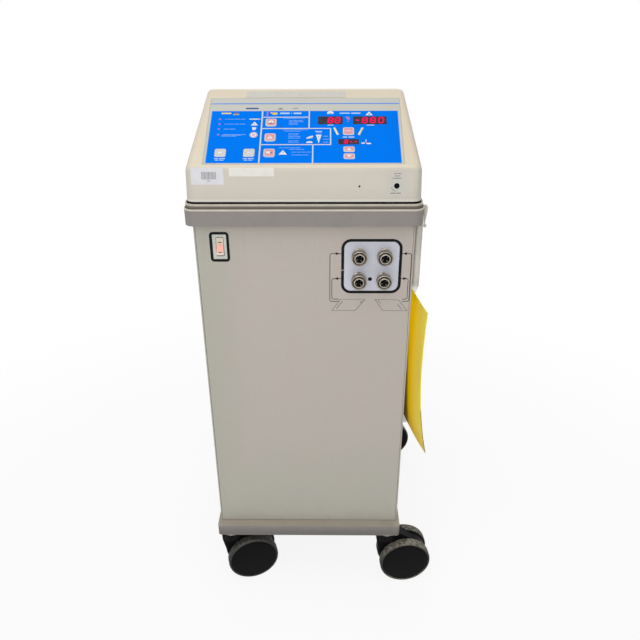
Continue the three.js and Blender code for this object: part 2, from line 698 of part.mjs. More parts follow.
{
  const spot = place(machine, switchX, 0, switchZ);
  const { width, height, corner, flange, wellWidth, wellHeight } = powerSwitch;
  const flangeFront = panel.thickness + gap;
  const flangeBack = flangeFront + powerSwitch.flangeThickness;
  const flangeShape = centredRect(width + 2 * flange, height + 2 * flange, corner);
  const shaft = frontSlab(centredRect(width, height, corner), gap, powerSwitch.depth);
  const collarPlate = frontSlab(flangeShape, flangeFront, flangeBack);
  const well = frontSlab(centredRect(wellWidth, wellHeight, corner / 2), -overrun, powerSwitch.wellDepth);
  piece(spot, 'switch_body', finish.plastic, cut(join(shaft, collarPlate), well));

  const pivot = place(spot, 0, powerSwitch.pivotDepth, 0);
  pivot.rotation.x = -powerSwitch.rockerTilt * degrees;
  const rockerWidth = wellWidth - 2 * powerSwitch.sideRoom;
  const halfRocker = wellHeight / 2 - powerSwitch.endRoom;
  const face = -powerSwitch.rockerProud - powerSwitch.pivotDepth;
  const wings = outline([
    [-halfRocker, face],
    [0, face + powerSwitch.rockerProud],
    [halfRocker, face],
    [halfRocker, face + powerSwitch.rockerThickness / 2],
    [0, face + powerSwitch.rockerThickness],
    [-halfRocker, face + powerSwitch.rockerThickness / 2],
  ]);
  const rocker = slab(wings, rockerWidth).rotateY(-Math.PI / 2).translate(rockerWidth / 2, 0, 0);
  piece(pivot, 'power_rocker', finish.pink, rocker);
}

// Couplings

const couplingSpots = {
  upper_left: [-1, 1],
  upper_right: [1, 1],
  lower_left: [-1, -1],
  lower_right: [1, -1],
};
const couplingCentre = ([i, j]) => [
  plateX + i * coupling.spacing / 2, plateZ + j * coupling.rise / 2,
];

{
  const { width, height, corner, thickness, flange, flangeThickness } = couplingPlate;
  const back = panel.thickness + gap;
  const face = frontSlab(centredRect(width, height, corner), gap, back + thickness);
  const edge = frontSlab(
    centredRect(width + 2 * flange, height + 2 * flange, corner + flange), back, back + flangeThickness,
  );
  const holes = Object.values(couplingSpots).map((spot) => {
    const [x, z] = couplingCentre(spot);
    return rod(coupling.tailRadius + gap, -overrun, back + thickness + overrun, coupling.sides)
      .rotateX(-Math.PI / 2).translate(x - plateX, 0, z - plateZ);
  });
  piece(machine, 'coupling_plate', finish.white, cut(join(face, edge), ...holes))
    .position.set(plateX, 0, plateZ);
}

// Profiles run outwards from the plate, so height 0 is the plate's face and grows to the front
const couplingBodyProfile = [
  [0, -coupling.tail],
  [coupling.tailRadius, -coupling.tail],
  [coupling.tailRadius, 0],
  [coupling.flangeRadius, 0],
  [coupling.flangeRadius, coupling.flangeHeight],
  [coupling.radius, coupling.flangeHeight],
  [coupling.radius, coupling.reach - coupling.lip],
  [coupling.radius - coupling.lip, coupling.reach],
  [coupling.bore, coupling.reach],
  [coupling.bore, coupling.reach - coupling.boreDepth],
  [coupling.poppetRadius, coupling.reach - coupling.boreDepth],
  [coupling.poppetRadius / 2, coupling.reach - coupling.boreDepth + coupling.poppetLength],
  [0, coupling.reach - coupling.boreDepth + coupling.poppetLength],
];
const sleeveFront = coupling.reach - coupling.sleeveSetback;
const sleeveBack = sleeveFront - coupling.sleeveLength;
const sleeveProfile = [
  [coupling.radius + running, sleeveBack],
  [coupling.sleeveRadius, sleeveBack],
  [coupling.sleeveRadius, sleeveFront - coupling.lip],
  [coupling.sleeveRadius - coupling.lip, sleeveFront],
  [coupling.radius + running, sleeveFront],
  [coupling.radius + running, sleeveBack],
];
for (const [name, spot] of Object.entries(couplingSpots)) {
  const [x, z] = couplingCentre(spot);
  const seat = place(machine, x, 0, z);
  seat.rotation.x = Math.PI / 2;
  piece(seat, `coupling_body_${name}`, finish.nickel, turned(couplingBodyProfile, coupling.sides));
  piece(seat, `coupling_sleeve_${name}`, finish.nickel, turned(sleeveProfile, coupling.sides));
}

// Reservoir: a tank on the shell's shelves with a filler neck up to the head, its cap and its heater

const tankBottom = shelfTop + gap;
const tankTop = tankBottom + tank.height;
const tankMiddle = tankFront + tank.depth / 2;
const topSlope = (head.crestRise - head.rearTopRise) / (headTopBack - head.crestBack);
const topAtNeck = headBottom + head.crestRise - topSlope * (neckBack - head.crestBack);
const rimTop = topAtNeck - tank.rimDrop;
const heaterHeight = tankBottom + heater.rise;
const capPlace = place(machine, 0, neckBack, rimTop);

{
  const outer = slab(centredRect(tankWidth, tank.depth, tank.corner), tank.height);
  const innerShape = centredRect(
    tankWidth - 2 * tank.wall, tank.depth - 2 * tank.wall, tank.corner - tank.wall,
  );
  const inner = slab(innerShape, tank.height - 2 * tank.wall).translate(0, 0, tank.wall);
  const body = cut(solid(outer), inner).translate([0, tankMiddle, tankBottom]);
  const throatRadius = tank.neckRadius - tank.neckWall;
  const neck = rod(tank.neckRadius, tankTop - tank.wall, rimTop, tank.neckSides).translate(0, neckBack, 0);
  const throat = rod(throatRadius, tankTop - tank.wall - overrun, rimTop + overrun, tank.neckSides)
    .translate(0, neckBack, 0);
  const heaterHole = rod(heater.radius + gap, -overrun, tank.wall + overrun).rotateX(-Math.PI / 2)
    .translate(heaterX, tankFront, heaterHeight);
  piece(machine, 'water_reservoir', finish.plastic, cut(body.add(solid(neck)), throat, heaterHole));

  const lidRadius = tank.neckRadius + tank.neckWall;
  const lid = rod(lidRadius, gap, cap.plateHeight, 24);
  const grip = block(2 * lidRadius - cap.gripWidth, cap.gripWidth, cap.gripHeight + cap.plateHeight - gap)
    .translate(0, 0, (cap.gripHeight + cap.plateHeight + gap) / 2);
  const skirtRadius = throatRadius * Math.cos(Math.PI / tank.neckSides) - cap.skirtRoom;
  const skirt = turned([
    [skirtRadius - cap.skirtWall, -cap.skirtLength],
    [skirtRadius, -cap.skirtLength],
    [skirtRadius, cap.plateHeight / 2],
    [skirtRadius - cap.skirtWall, cap.plateHeight / 2],
    [skirtRadius - cap.skirtWall, -cap.skirtLength],
  ], tank.neckSides);
  piece(capPlace, 'fill_cap', finish.black, join(lid, grip, skirt));

  const rodFront = -heater.headLength;
  const sheath = rod(heater.radius, rodFront, heater.length, 12);
  const nut = rod(heater.headRadius, rodFront, -gap, heater.sides);
  piece(machine, 'water_heater', finish.steel, geometryOf(join(sheath, nut)).rotateX(-Math.PI / 2)
    .translate(heaterX, tankFront, heaterHeight));
}

// Pump: a motor and volute on a foot, lying along Y
{
  const saddle = block(pump.saddleWidth, pump.saddleDepth, pump.axisRise).translate(0, 0, pump.axisRise / 2);
  const foot = block(pump.footWidth, pump.footDepth, pump.footHeight).translate(0, 0, pump.footHeight / 2);
  const motor = rod(pump.motorRadius, 0, pump.motorLength).rotateX(-Math.PI / 2)
    .translate(0, -pump.footDepth / 2 + pump.voluteLength, pump.axisRise);
  const volute = rod(pump.voluteRadius, 0, pump.voluteLength + gap, 20).rotateX(-Math.PI / 2)
    .translate(0, -pump.footDepth / 2, pump.axisRise);
  const port = rod(pump.portRadius, 0, pump.voluteRadius + pump.portRise, 14)
    .translate(pump.voluteRadius / 2, pump.voluteLength / 2 - pump.footDepth / 2, pump.axisRise);
  piece(machine, 'water_pump', finish.steel, join(foot, saddle, motor, volute, port))
    .position.set(pumpX, pump.y, baseTop + gap);
}

// Compressor: a sealed can on a foot plate
piece(machine, 'compressor', finish.black, turned([
  [0, 0],
  [compressor.footRadius, 0],
  [compressor.footRadius, compressor.footHeight],
  [compressor.radius - compressor.neckInset, compressor.footHeight],
  [compressor.radius, compressor.domeHeight],
  [compressor.radius, compressor.height - compressor.domeHeight],
  [compressor.radius - compressor.neckInset, compressor.height - compressor.neckHeight],
  [0, compressor.height],
], 20)).position.set(compressorX, compressor.y, baseTop + gap);

// Condenser: a core between end plates, with upright fins on both faces
const condenserBack = innerBack - condenser.rearGap;
{
  const half = condenser.width / 2;
  const pitch = (condenser.width - 2 * condenser.plate) / condenser.fins;
  const core = boxBetween([-half, -condenser.core / 2, 0], [half, condenser.core / 2, condenser.height]);
  const plates = [-1, 1].map((side) => block(condenser.plate, condenser.depth, condenser.height)
    .translate(side * (half - condenser.plate / 2), 0, condenser.height / 2));
  const fins = Array.from({ length: condenser.fins - 1 }, (_, i) => block(
    condenser.finWidth, condenser.depth, condenser.height,
  ).translate(condenser.plate - half + (i + 1) * pitch, 0, condenser.height / 2));
  piece(machine, 'condenser', finish.steel, join(core, ...plates, ...fins))
    .position.set(0, condenserBack - condenser.depth / 2, baseTop + gap);
}

// Fan: a motor on a stand, and the blades on its shaft
const fanBack = condenserBack - condenser.depth - fan.clearance;
const hubFront = fanBack - fan.hubLength;
const motorBack = hubFront - fan.clearance / 2;
const fanHeight = baseTop + gap + fan.rise;
{
  const motorMiddle = motorBack - fan.motorLength / 2;
  const motor = rod(fan.motorRadius, motorBack - fan.motorLength, motorBack).rotateX(-Math.PI / 2)
    .translate(0, 0, fanHeight);
  const shaft = rod(fan.shaftRadius, motorMiddle, fanBack - gap, 12).rotateX(-Math.PI / 2)
    .translate(0, 0, fanHeight);
  const stand = block(fan.standWidth, fan.standThickness, fan.rise)
    .translate(0, motorMiddle, baseTop + gap + fan.rise / 2);
  const foot = block(fan.standWidth, fan.footDepth, fan.footHeight)
    .translate(0, motorMiddle, baseTop + gap + fan.footHeight / 2);
  piece(machine, 'fan_motor', finish.steel, join(motor, shaft, stand, foot));

  const bladeRoot = fan.hubRadius / 2;
  const blades = Array.from({ length: fan.blades }, (_, i) => (
    block(fan.bladeWidth, fan.bladeThickness, fan.radius - bladeRoot)
      .rotateZ(fan.bladePitch * degrees)
      .translate(0, fan.hubLength / 2, (fan.radius + bladeRoot) / 2)
      .rotateY(i * 2 * Math.PI / fan.blades)
  ));
  const hub = rod(fan.hubRadius, 0, fan.hubLength, 16).rotateX(-Math.PI / 2);
  const bore = rod(fan.shaftRadius + gap, -overrun, fan.hubLength + overrun, 12).rotateX(-Math.PI / 2);
  piece(machine, 'fan_blade', finish.black, cut(join(hub, ...blades), bore))
    .position.set(0, hubFront, fanHeight);
}

// Power supply: a box with a lid
{
  const { width, depth, height, lidOverhang, lidHeight } = supply;
  const box = block(width, depth, height).translate(0, 0, height / 2);
  const lid = block(width + 2 * lidOverhang, depth + 2 * lidOverhang, lidHeight)
    .translate(0, 0, height - lidHeight / 2);
  piece(machine, 'power_supply', finish.steel, join(box, lid))
    .position.set(supplyX, supply.y, baseTop + gap);
}

// Document pocket: a back sheet on the cabinet's side with a rolled hem, and a pouch at its rear half

const sideX = halfCabinet + gap;
const pocketTop = collarBottom - pocket.top;
const pocketBottom = pocket.bottom;
const folderInner = sideX + pocket.sheet + gap;
const folderBottom = pocketBottom + pocket.weld + gap;
{
  const back = boxBetween([sideX, pocket.front + pocket.hem / 2, pocketBottom],
    [sideX + pocket.sheet, pocket.front + pocket.width, pocketTop]);
  const hem = rod(pocket.hem / 2, pocketTop - pocket.hemLength, pocketTop, 10)
    .translate(sideX + pocket.hem / 2, pocket.front + pocket.hem / 2, 0);
  const taper = turned([
    [0, pocketTop - pocket.hemLength - pocket.hemTaper],
    [pocket.sheet, pocketTop - pocket.hemLength - pocket.hemTaper],
    [pocket.hem / 2, pocketTop - pocket.hemLength],
    [0, pocketTop - pocket.hemLength],
  ], 10).translate(sideX + pocket.hem / 2, pocket.front + pocket.hem / 2, 0);
  const pouchX = (y) => folderInner + 2 * folder.leaf + folder.spineDepth + pocket.sheet
    + (folder.spread + folder.cornerFlare) * (spineBack - y) / (spineBack - folder.front);
  const rearY = pocket.front + pocket.width;
  const plan = outline([
    [sideX, pocket.pouchFront],
    [pouchX(pocket.pouchFront) + pocket.sheet, pocket.pouchFront],
    [pouchX(spineBack) + pocket.sheet, rearY],
    [sideX, rearY],
  ]);
  const hollow = outline([
    [sideX + pocket.sheet, pocket.pouchFront - overrun],
    [pouchX(pocket.pouchFront - overrun), pocket.pouchFront - overrun],
    [pouchX(spineBack), rearY - pocket.sheet],
    [sideX + pocket.sheet, rearY - pocket.sheet],
  ]);
  const pouch = cut(
    solid(slab(plan, pocket.pouchHeight).translate(0, 0, pocketBottom)),
    slab(hollow, pocket.pouchHeight).translate(0, 0, pocketBottom + pocket.weld),
  );
  piece(machine, 'document_pocket', finish.vinyl, join(back, hem, taper).add(pouch));
}

// Folder: two leaves joined at the rear spine
// The outer leaf stands open to the front and flares at its lower corner
function folderGeometry() {
  const { front, height, leaf, spread, sag, cornerFlare, spineDepth, rows } = folder;
  const positions = [];
  const index = [];
  const outerStart = folderInner + leaf + spineDepth;
  const rearEdge = spineBack + leaf;
  // How far the outer leaf's front edge stands out, for a share up from the bottom
  const outward = (up) => spread + cornerFlare * (1 - up) ** 3 + sag * (2 * up - 1) ** 2 - sag;
  // One level of the section, clockwise seen from above
  const level = (row) => {
    const out = outward(row / rows);
    return [
      [outerStart + leaf + out, front],
      [outerStart + leaf, rearEdge],
      [folderInner, rearEdge],
      [folderInner, front + leaf],
      [folderInner + leaf, front + leaf],
      [folderInner + leaf, spineBack],
      [outerStart, spineBack],
      [outerStart + out, front],
    ];
  };
  const count = level(0).length;
  for (let row = 0; row <= rows; row += 1) {
    for (const [x, y] of level(row)) positions.push(x, y, folderBottom + height * row / rows);
  }
  for (let row = 0; row < rows; row += 1) {
    for (let i = 0; i < count; i += 1) {
      const a = row * count + i;
      const b = row * count + (i + 1) % count;
      index.push(a, b, b + count, a, b + count, a + count);
    }
  }
  for (const [row, flip] of [[0, false], [rows, true]]) {
    const contour = level(row).map(([x, y]) => new THREE.Vector2(x, y));
    for (const [a, b, c] of THREE.ShapeUtils.triangulateShape(contour, [])) {
      const corners = [a, b, c].map((i) => row * count + i);
      index.push(...(flip ? corners : corners.reverse()));
    }
  }
  const geometry = new THREE.BufferGeometry();
  geometry.setAttribute('position', new THREE.Float32BufferAttribute(positions, 3));
  geometry.setIndex(index);
  geometry.computeVertexNormals();
  return geometry;
}
piece(machine, 'document_folder', finish.yellow, folderGeometry());

// Hook: a strap over the collar's bead, down its side, with a knob under the collar
{
  const strapFoot = halfCollar + hook.standOff;
  const strapOuter = strapFoot + hook.thickness;
  const strapTop = collarTop + collar.beadHeight + gap + hook.thickness;
  const knobZ = collarBottom - hook.knobDrop;
  const hookInner = lipInner + collar.lipWidth + gap / 2;
  const strap = outline([
    [strapOuter, knobZ],
    [strapOuter, strapTop],
    [hookInner, strapTop],
    [hookInner, strapTop - hook.thickness],
    [strapFoot, strapTop - hook.thickness],
    [strapFoot, knobZ],
  ]);
  const band = slab(strap, hook.width).rotateX(Math.PI / 2).translate(0, hook.y + hook.width / 2, 0);
  const knob = new THREE.SphereGeometry(hook.knobRadius, 8, 6)
    .translate(strapFoot + hook.thickness / 2, hook.y, knobZ);
  piece(machine, 'pocket_hook', finish.vinyl, join(band, knob));
}

// The origin goes to the middle of the whole box, at the floor
const box = new THREE.Box3().setFromObject(machine, true);
machine.position.set(-(box.min.x + box.max.x) / 2, -(box.min.y + box.max.y) / 2, -box.min.z);

const part = new THREE.Group();
part.add(machine);
export default part;
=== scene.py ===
"""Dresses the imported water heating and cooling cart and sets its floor, lamps and camera."""

import json
import math

import bmesh
import bpy
import numpy as np
from mathutils import Matrix, Vector

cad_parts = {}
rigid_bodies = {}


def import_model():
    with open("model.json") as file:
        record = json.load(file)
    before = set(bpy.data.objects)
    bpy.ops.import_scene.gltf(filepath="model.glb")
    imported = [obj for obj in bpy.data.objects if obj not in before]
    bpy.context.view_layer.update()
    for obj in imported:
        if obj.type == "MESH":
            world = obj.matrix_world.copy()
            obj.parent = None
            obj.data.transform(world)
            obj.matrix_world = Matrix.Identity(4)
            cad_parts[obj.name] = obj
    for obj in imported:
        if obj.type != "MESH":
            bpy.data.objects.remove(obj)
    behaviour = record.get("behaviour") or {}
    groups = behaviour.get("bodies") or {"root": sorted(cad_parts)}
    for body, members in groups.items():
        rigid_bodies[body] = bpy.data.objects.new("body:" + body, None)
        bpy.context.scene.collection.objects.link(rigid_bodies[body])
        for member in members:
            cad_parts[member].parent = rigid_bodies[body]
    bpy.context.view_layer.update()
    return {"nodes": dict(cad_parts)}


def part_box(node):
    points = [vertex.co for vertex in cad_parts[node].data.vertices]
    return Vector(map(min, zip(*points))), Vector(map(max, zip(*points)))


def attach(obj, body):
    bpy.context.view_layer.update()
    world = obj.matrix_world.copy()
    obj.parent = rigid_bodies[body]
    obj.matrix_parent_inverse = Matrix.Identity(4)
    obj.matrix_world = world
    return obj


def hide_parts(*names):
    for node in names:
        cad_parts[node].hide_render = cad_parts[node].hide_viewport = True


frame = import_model()
nodes = frame["nodes"]

# Shapes are written in millimetres: x from the cart's middle, y back from the front panel, z up from
# the floor. The places of the camera and the lamps are in metres.
MM = 0.001
shell_low, shell_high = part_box("cabinet_shell")
panel_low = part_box("front_panel")[0]
START = np.array([(shell_low.x + shell_high.x) / 2, panel_low.y, 0.0]) / MM
CORNERS = ("front_right", "front_left", "rear_right", "rear_left")


def cart(corner):
    """A place given in metres, in cart millimetres."""
    return np.array(corner) / MM - START


def added(name, data):
    """A new object of the scene."""
    made = bpy.data.objects.new(name, data)
    bpy.context.scene.collection.objects.link(made)
    return made


# Camera, at the photograph's place.

CAMERA_PLACE = Vector((0.00492, -1.14839, 1.06177))
CAMERA_DOWN = 26.97
CAMERA_TURN = -0.735
CAMERA_ROLL = 0.27
CAMERA_LENS = 36.06
SENSOR = 36
NEAREST = 0.02


def set_camera():
    """Aims the camera: it rolls about its own axis, tips up from straight down and turns about z."""
    data = bpy.data.cameras.new("camera")
    data.lens = CAMERA_LENS
    data.sensor_width = SENSOR
    data.clip_start = NEAREST
    place = Matrix.Translation(CAMERA_PLACE)
    for degrees, axis in ((-CAMERA_TURN, "Z"), (90 - CAMERA_DOWN, "X"), (-CAMERA_ROLL, "Z")):
        place = place @ Matrix.Rotation(math.radians(degrees), 4, axis)
    camera = added("camera", data)
    camera.matrix_world = place
    bpy.context.scene.camera = camera


set_camera()


# Shader maths.

def joined(operation, swapped=False):
    """A method of Value that joins it to another value with one Math node."""
    def join(self, other):
        pair = (other, self) if swapped else (self, other)
        return self.math(operation, *pair)
    return join


class Value:
    """A socket's value. Python's operators on it add Math nodes."""

    def __init__(self, tree, socket):
        self.tree = tree
        self.socket = socket

    def math(self, operation, *values):
        return self.tree.node("ShaderNodeMath", dict(enumerate(values)), operation=operation)

    __add__ = joined("ADD")
    __radd__ = joined("ADD", True)
    __sub__ = joined("SUBTRACT")
    __rsub__ = joined("SUBTRACT", True)
    __mul__ = joined("MULTIPLY")
    __rmul__ = joined("MULTIPLY", True)
    __truediv__ = joined("DIVIDE")
    __pow__ = joined("POWER")
    most = joined("MAXIMUM")
    least = joined("MINIMUM")

    def size(self):
        """The value without its sign."""
        return self.math("ABSOLUTE", self)

    def rise(self, low, high):
        """0 below low, 1 above high, and a smooth step between them."""
        ends = {"Value": self, "From Min": low, "From Max": high}
        return self.tree.node("ShaderNodeMapRange", ends, interpolation_type="SMOOTHSTEP")

    def fall(self, low, high):
        """1 below low, 0 above high, and a smooth step between them."""
        return 1 - self.rise(low, high)


class Tree:
    """The node tree of a material or a world, emptied but for its output."""

    def __init__(self, owner, output):
        owner.use_nodes = True
        self.nodes = owner.node_tree.nodes
        self.links = owner.node_tree.links
        self.nodes.clear()
        self.output = self.nodes.new(output).inputs["Surface"]

    def node(self, kind, values=None, out=0, **settings):
        """Adds any node: its settings first, then the values or links of its sockets."""
        made = self.nodes.new(kind)
        for name, value in settings.items():
            setattr(made, name, value)
        for name, value in (values or {}).items():
            self.feed(made.inputs[name], value)
        return Value(self, made.outputs[out])

    def feed(self, socket, value):
        """Links a value to a socket, or sets the socket to a number or a colour."""
        if isinstance(value, Value):
            self.links.new(value.socket, socket)
        elif isinstance(value, tuple) and socket.type == "RGBA":
            socket.default_value = (*value, 1.0)
        else:
            socket.default_value = value

    def looked_at(self):
        """1 where the camera looks, also by a reflection or through something clear, 0 for light."""
        kinds = ("Is Camera Ray", "Is Glossy Ray", "Is Transmission Ray")
        camera, gloss, clear = [self.node("ShaderNodeLightPath", out=kind) for kind in kinds]
        return camera.most(gloss).most(clear)

    def show(self, share, first, second):
        """Ends the tree in a mixture of two shaders: first at share 0, second at share 1."""
        self.feed(self.output, self.node("ShaderNodeMixShader", {0: share, 1: first, 2: second}))


class Finish(Tree):
    """One material: a Principled shader, what feeds it, and its shade so far."""

    def __init__(self, name, shade=None):
        self.material = bpy.data.materials.new(name)
        super().__init__(self.material, "ShaderNodeOutputMaterial")
        self.shader = self.nodes.new("ShaderNodeBsdfPrincipled")
        self.links.new(self.shader.outputs[0], self.output)
        self.shade = shade

    def place(self):
        """The point on the object, in metres."""
        return self.node("ShaderNodeTexCoord", out="Object")

    def axis(self, name):
        """One coordinate of the point, in millimetres from the cart's own zero."""
        part = self.node("ShaderNodeSeparateXYZ", {0: self.place()}, name)
        return part * (1 / MM) - START["XYZ".index(name)]

    def facing(self, name):
        """One coordinate of the surface's outward direction."""
        normal = self.node("ShaderNodeNewGeometry", out="Normal")
        return self.node("ShaderNodeSeparateXYZ", {0: normal}, name)

    def spread(self, grain, stretch):
        """The point in units of about grain millimetres, stretched along each axis."""
        scale = tuple(1 / MM / grain / part for part in stretch)
        return self.node("ShaderNodeMapping", {0: self.place(), 3: scale})

    def noise(self, grain, detail=3.0, stretch=(1.0, 1.0, 1.0), rough=0.55):
        """Cloudy noise from 0 to 1 whose patches are about grain millimetres across."""
        place = self.spread(grain, stretch)
        values = {"Vector": place, "Scale": 1.0, "Detail": detail, "Roughness": rough}
        return self.node("ShaderNodeTexNoise", values)

    def cells(self, grain):
        """Distance to the nearest of scattered points that are about grain millimetres apart."""
        place = self.spread(grain, (1.0, 1.0, 1.0))
        return self.node("ShaderNodeTexVoronoi", {"Vector": place, "Scale": 1.0})

    def mix(self, share, first, second):
        """A colour between first, at share 0, and second, at share 1."""
        return self.node("ShaderNodeMix", {0: share, 6: first, 7: second}, 2, data_type="RGBA")

    def coat(self, share, colour):
        """Lays a share of a colour over the shade so far."""
        self.shade = self.mix(share, self.shade, colour)

    def set(self, rough, height=None, strength=0.0, shine=0.5, distance=0.0005, **others):
        """Sets the shader's shade, roughness, bump, shine and others, with _ for a name's space."""
        values = {"Base_Color": self.shade, "Roughness": rough, "Specular_IOR_Level": shine, **others}
        if height:
            bump = {"Height": height, "Strength": strength, "Distance": distance}
            values["Normal"] = self.node("ShaderNodeBump", bump)
        for name, value in values.items():
            self.feed(self.shader.inputs[name.replace("_", " ")], value)
        return self.material


# Places that the materials follow.

SLOPE_ANGLE = 31.704
FILM_LENGTH = 144.0
overlay_low, overlay_high = map(cart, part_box("control_overlay"))
film_y = overlay_low[1]
film_z = overlay_high[2] - FILM_LENGTH * math.sin(math.radians(SLOPE_ANGLE))
COLLAR_CORNER = 16.0
collar_low, collar_high = map(cart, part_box("top_collar"))
collar_half = (collar_high - collar_low) / 2
collar_middle = (collar_high + collar_low) / 2
rocker_low, rocker_high = map(cart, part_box("power_rocker"))
rocker_middle = (rocker_low + rocker_high) / 2


# Materials.

def painted(name, colour, stain, scuff, gloss=0.42, orange_peel=0.12, blotch=70):
    """Textured paint: cloudy stains, a few scuffs and a fine orange peel."""
    finish = Finish(name, colour)
    speck = finish.noise(4, 2).rise(0.66, 0.76)
    finish.coat(finish.noise(blotch, 4).rise(0.42, 0.75) * 0.55, stain)
    finish.coat(speck * 0.35, scuff)
    finish.coat(finish.noise(9, 3, (0.25, 0.25, 7)).rise(0.62, 0.8) * 0.22, scuff)
    rough = gloss + finish.noise(25) * 0.16 + speck * 0.1
    return finish, (rough, finish.noise(1.1, 2), orange_peel)


def cabinet_paint():
    """Pale beige baked paint and pinkish stains, with painted shade darker towards the bottom and a
    painted shadow under the collar.
    """
    finish, surface = painted(
        "beige_paint", (0.50, 0.455, 0.412), (0.53, 0.44, 0.395), (0.33, 0.285, 0.24)
    )
    height = finish.axis("Z")
    cool = finish.axis("X").fall(-165, -80).most(height.fall(180, 420))
    finish.coat(cool * 0.8, (0.44, 0.437, 0.37))
    # Painted shade: darker towards the bottom, and a band of painted shadow under the collar, broken up
    # by noise.
    broken = finish.noise(22, 4).rise(0.35, 0.7)
    shade_low_and_under_collar = (height.fall(148, 215) * 0.22 + height.rise(735, 753) * 0.35) * (0.35 + broken * 0.65)
    finish.coat(shade_low_and_under_collar, (0.30, 0.262, 0.215))
    return finish.set(*surface, 0.4)


def ivory():
    """Moulded ivory plastic, yellowed and painted lighter where it faces up, with rubbed grey marks."""
    finish, surface = painted(
        "ivory_moulding", (0.585, 0.548, 0.47), (0.60, 0.56, 0.485), (0.46, 0.415, 0.345),
        0.36, 0.08, 120,
    )
    # Upward faces: a yellowed tint that is also painted light from above, paler than the rest.
    yellowing_and_top_light = finish.mix(finish.noise(60).rise(0.3, 0.7), (0.70, 0.632, 0.50), (0.72, 0.618, 0.472))
    finish.coat(finish.facing("Z").rise(0.2, 0.8), yellowing_and_top_light)
    height = finish.axis("Z")
    finish.coat(height.fall(784, 812) * 0.35, (0.50, 0.46, 0.40))
    finish.coat(height.fall(788, 789.5) * 0.75, (0.70, 0.67, 0.60))
    finish.coat(finish.noise(16, 5, (2.5, 1, 1)).rise(0.62, 0.75) * 0.16, (0.48, 0.43, 0.36))
    return finish.set(*surface)


def taupe():
    """Taupe bumper plastic: dusty where it faces up, painted highlights on the lip and bead, painted
    shade in the groove and low on the base, and painted light on the base's upward faces.

    Outside is 1 where a point's distance from the plan's corner centres is the collar's corner radius.
    """
    finish, surface = painted(
        "taupe_moulding", (0.262, 0.238, 0.222), (0.225, 0.202, 0.185), (0.33, 0.29, 0.245),
        0.5, 0.15, 45,
    )
    height = finish.axis("Z")
    straight = collar_half - COLLAR_CORNER
    across = (finish.axis("X").size() - straight[0]).most(0.0)
    along = ((finish.axis("Y") - collar_middle[1]).size() - straight[1]).most(0.0)
    outside = ((across * across + along * along) ** 0.5).rise(COLLAR_CORNER - 1.8, COLLAR_CORNER - 1.5)
    # Painted shade in the groove.
    groove = height.rise(773.9, 774.3) * (1 - outside)
    finish.coat(groove * 0.85, (0.155, 0.135, 0.105))
    dust = finish.facing("Z").rise(0.35, 0.9) * (1 - groove)
    patch = 0.55 + finish.noise(14, 4).rise(0.3, 0.75) * 0.45
    tint = finish.mix(finish.noise(38).rise(0.4, 0.65), (0.35, 0.31, 0.25), (0.31, 0.26, 0.195))
    finish.coat(dust * patch, tint)
    # Painted highlights on the lip's rounded top and on the bead, a little uneven in strength.
    worn = 0.8 + finish.noise(20, 4).rise(0.3, 0.7) * 0.2
    finish.coat(height.rise(778.8, 780.6) * worn, (0.60, 0.55, 0.46))
    bead = outside * height.rise(773.2, 774.0) * height.fall(777.0, 778.0)
    finish.coat(bead * worn, (0.66, 0.61, 0.52))
    # Painted shade low on the base, near the floor.
    finish.coat(height.fall(126, 150) * 0.85, (0.14, 0.129, 0.12))
    # Painted light: the base's upward faces are paler.
    base_top_light = finish.facing("Z").rise(0.6, 0.9) * height.fall(150, 160)
    finish.coat(base_top_light * 0.35, (0.50, 0.45, 0.36))
    return finish.set(*surface)


def film():
    """Pale grey polyester sheet with handling smears, a printed blue field and a blue header line.

    Up is a point's distance along the slope from the sheet's foot. The field is where up is 2.2 to
    114.3 and x within 145, and the line where up is 130.2 to 132 and x within 148.2.
    """
    finish = Finish("overlay_film", (0.585, 0.59, 0.54))
    smear = finish.noise(40, 4, (2, 1, 1)).rise(0.45, 0.75)
    finish.coat(smear * 0.4, (0.51, 0.515, 0.465))
    finish.coat(finish.noise(5, 3).rise(0.6, 0.75) * 0.12, (0.42, 0.40, 0.33))
    lean = math.radians(SLOPE_ANGLE)
    up = (finish.axis("Y") - film_y) * math.cos(lean) + (finish.axis("Z") - film_z) * math.sin(lean)
    side = finish.axis("X").size()
    field = side.fall(144.95, 145.05) * up.rise(2.15, 2.25) * up.fall(114.25, 114.35)
    header_line = side.fall(148.15, 148.25) * up.rise(130.2, 130.3) * up.fall(131.9, 132.0)
    cloud = finish.noise(30, 4).rise(0.4, 0.7)
    blue = finish.mix(cloud * 0.35, (0.0, 0.195, 0.90), (0.001, 0.178, 0.82))
    finish.coat(field.most(header_line), blue)
    return finish.set(0.34 + smear * 0.15, finish.noise(0.6), 0.06, 0.01)


def ink(name, colour, worn, gloss=0.36, shine=0.12):
    """Screen printed ink: even, a little rubbed and smeared, with the film's satin grain."""
    finish = Finish(name, colour)
    cloud = finish.noise(30, 4).rise(0.4, 0.7)
    finish.coat(cloud * 0.35 + finish.noise(3, 2).rise(0.62, 0.75) * 0.15, worn)
    return finish.set(gloss + cloud * 0.12, finish.noise(0.7), 0.05, shine)


def glowing(name, colour, bright):
    """Lit display segment: a brighter core in a dark red diffuser."""
    finish = Finish(name, colour)
    core = finish.noise(1.4, 2).rise(0.2, 0.7)
    finish.coat(core, tuple(part * 1.5 for part in colour))
    glow = finish.mix(core, tuple(part * 0.72 for part in bright), bright)
    return finish.set(0.3 + core * 0.1, shine=0.05, Emission_Color=glow, Emission_Strength=1.0)


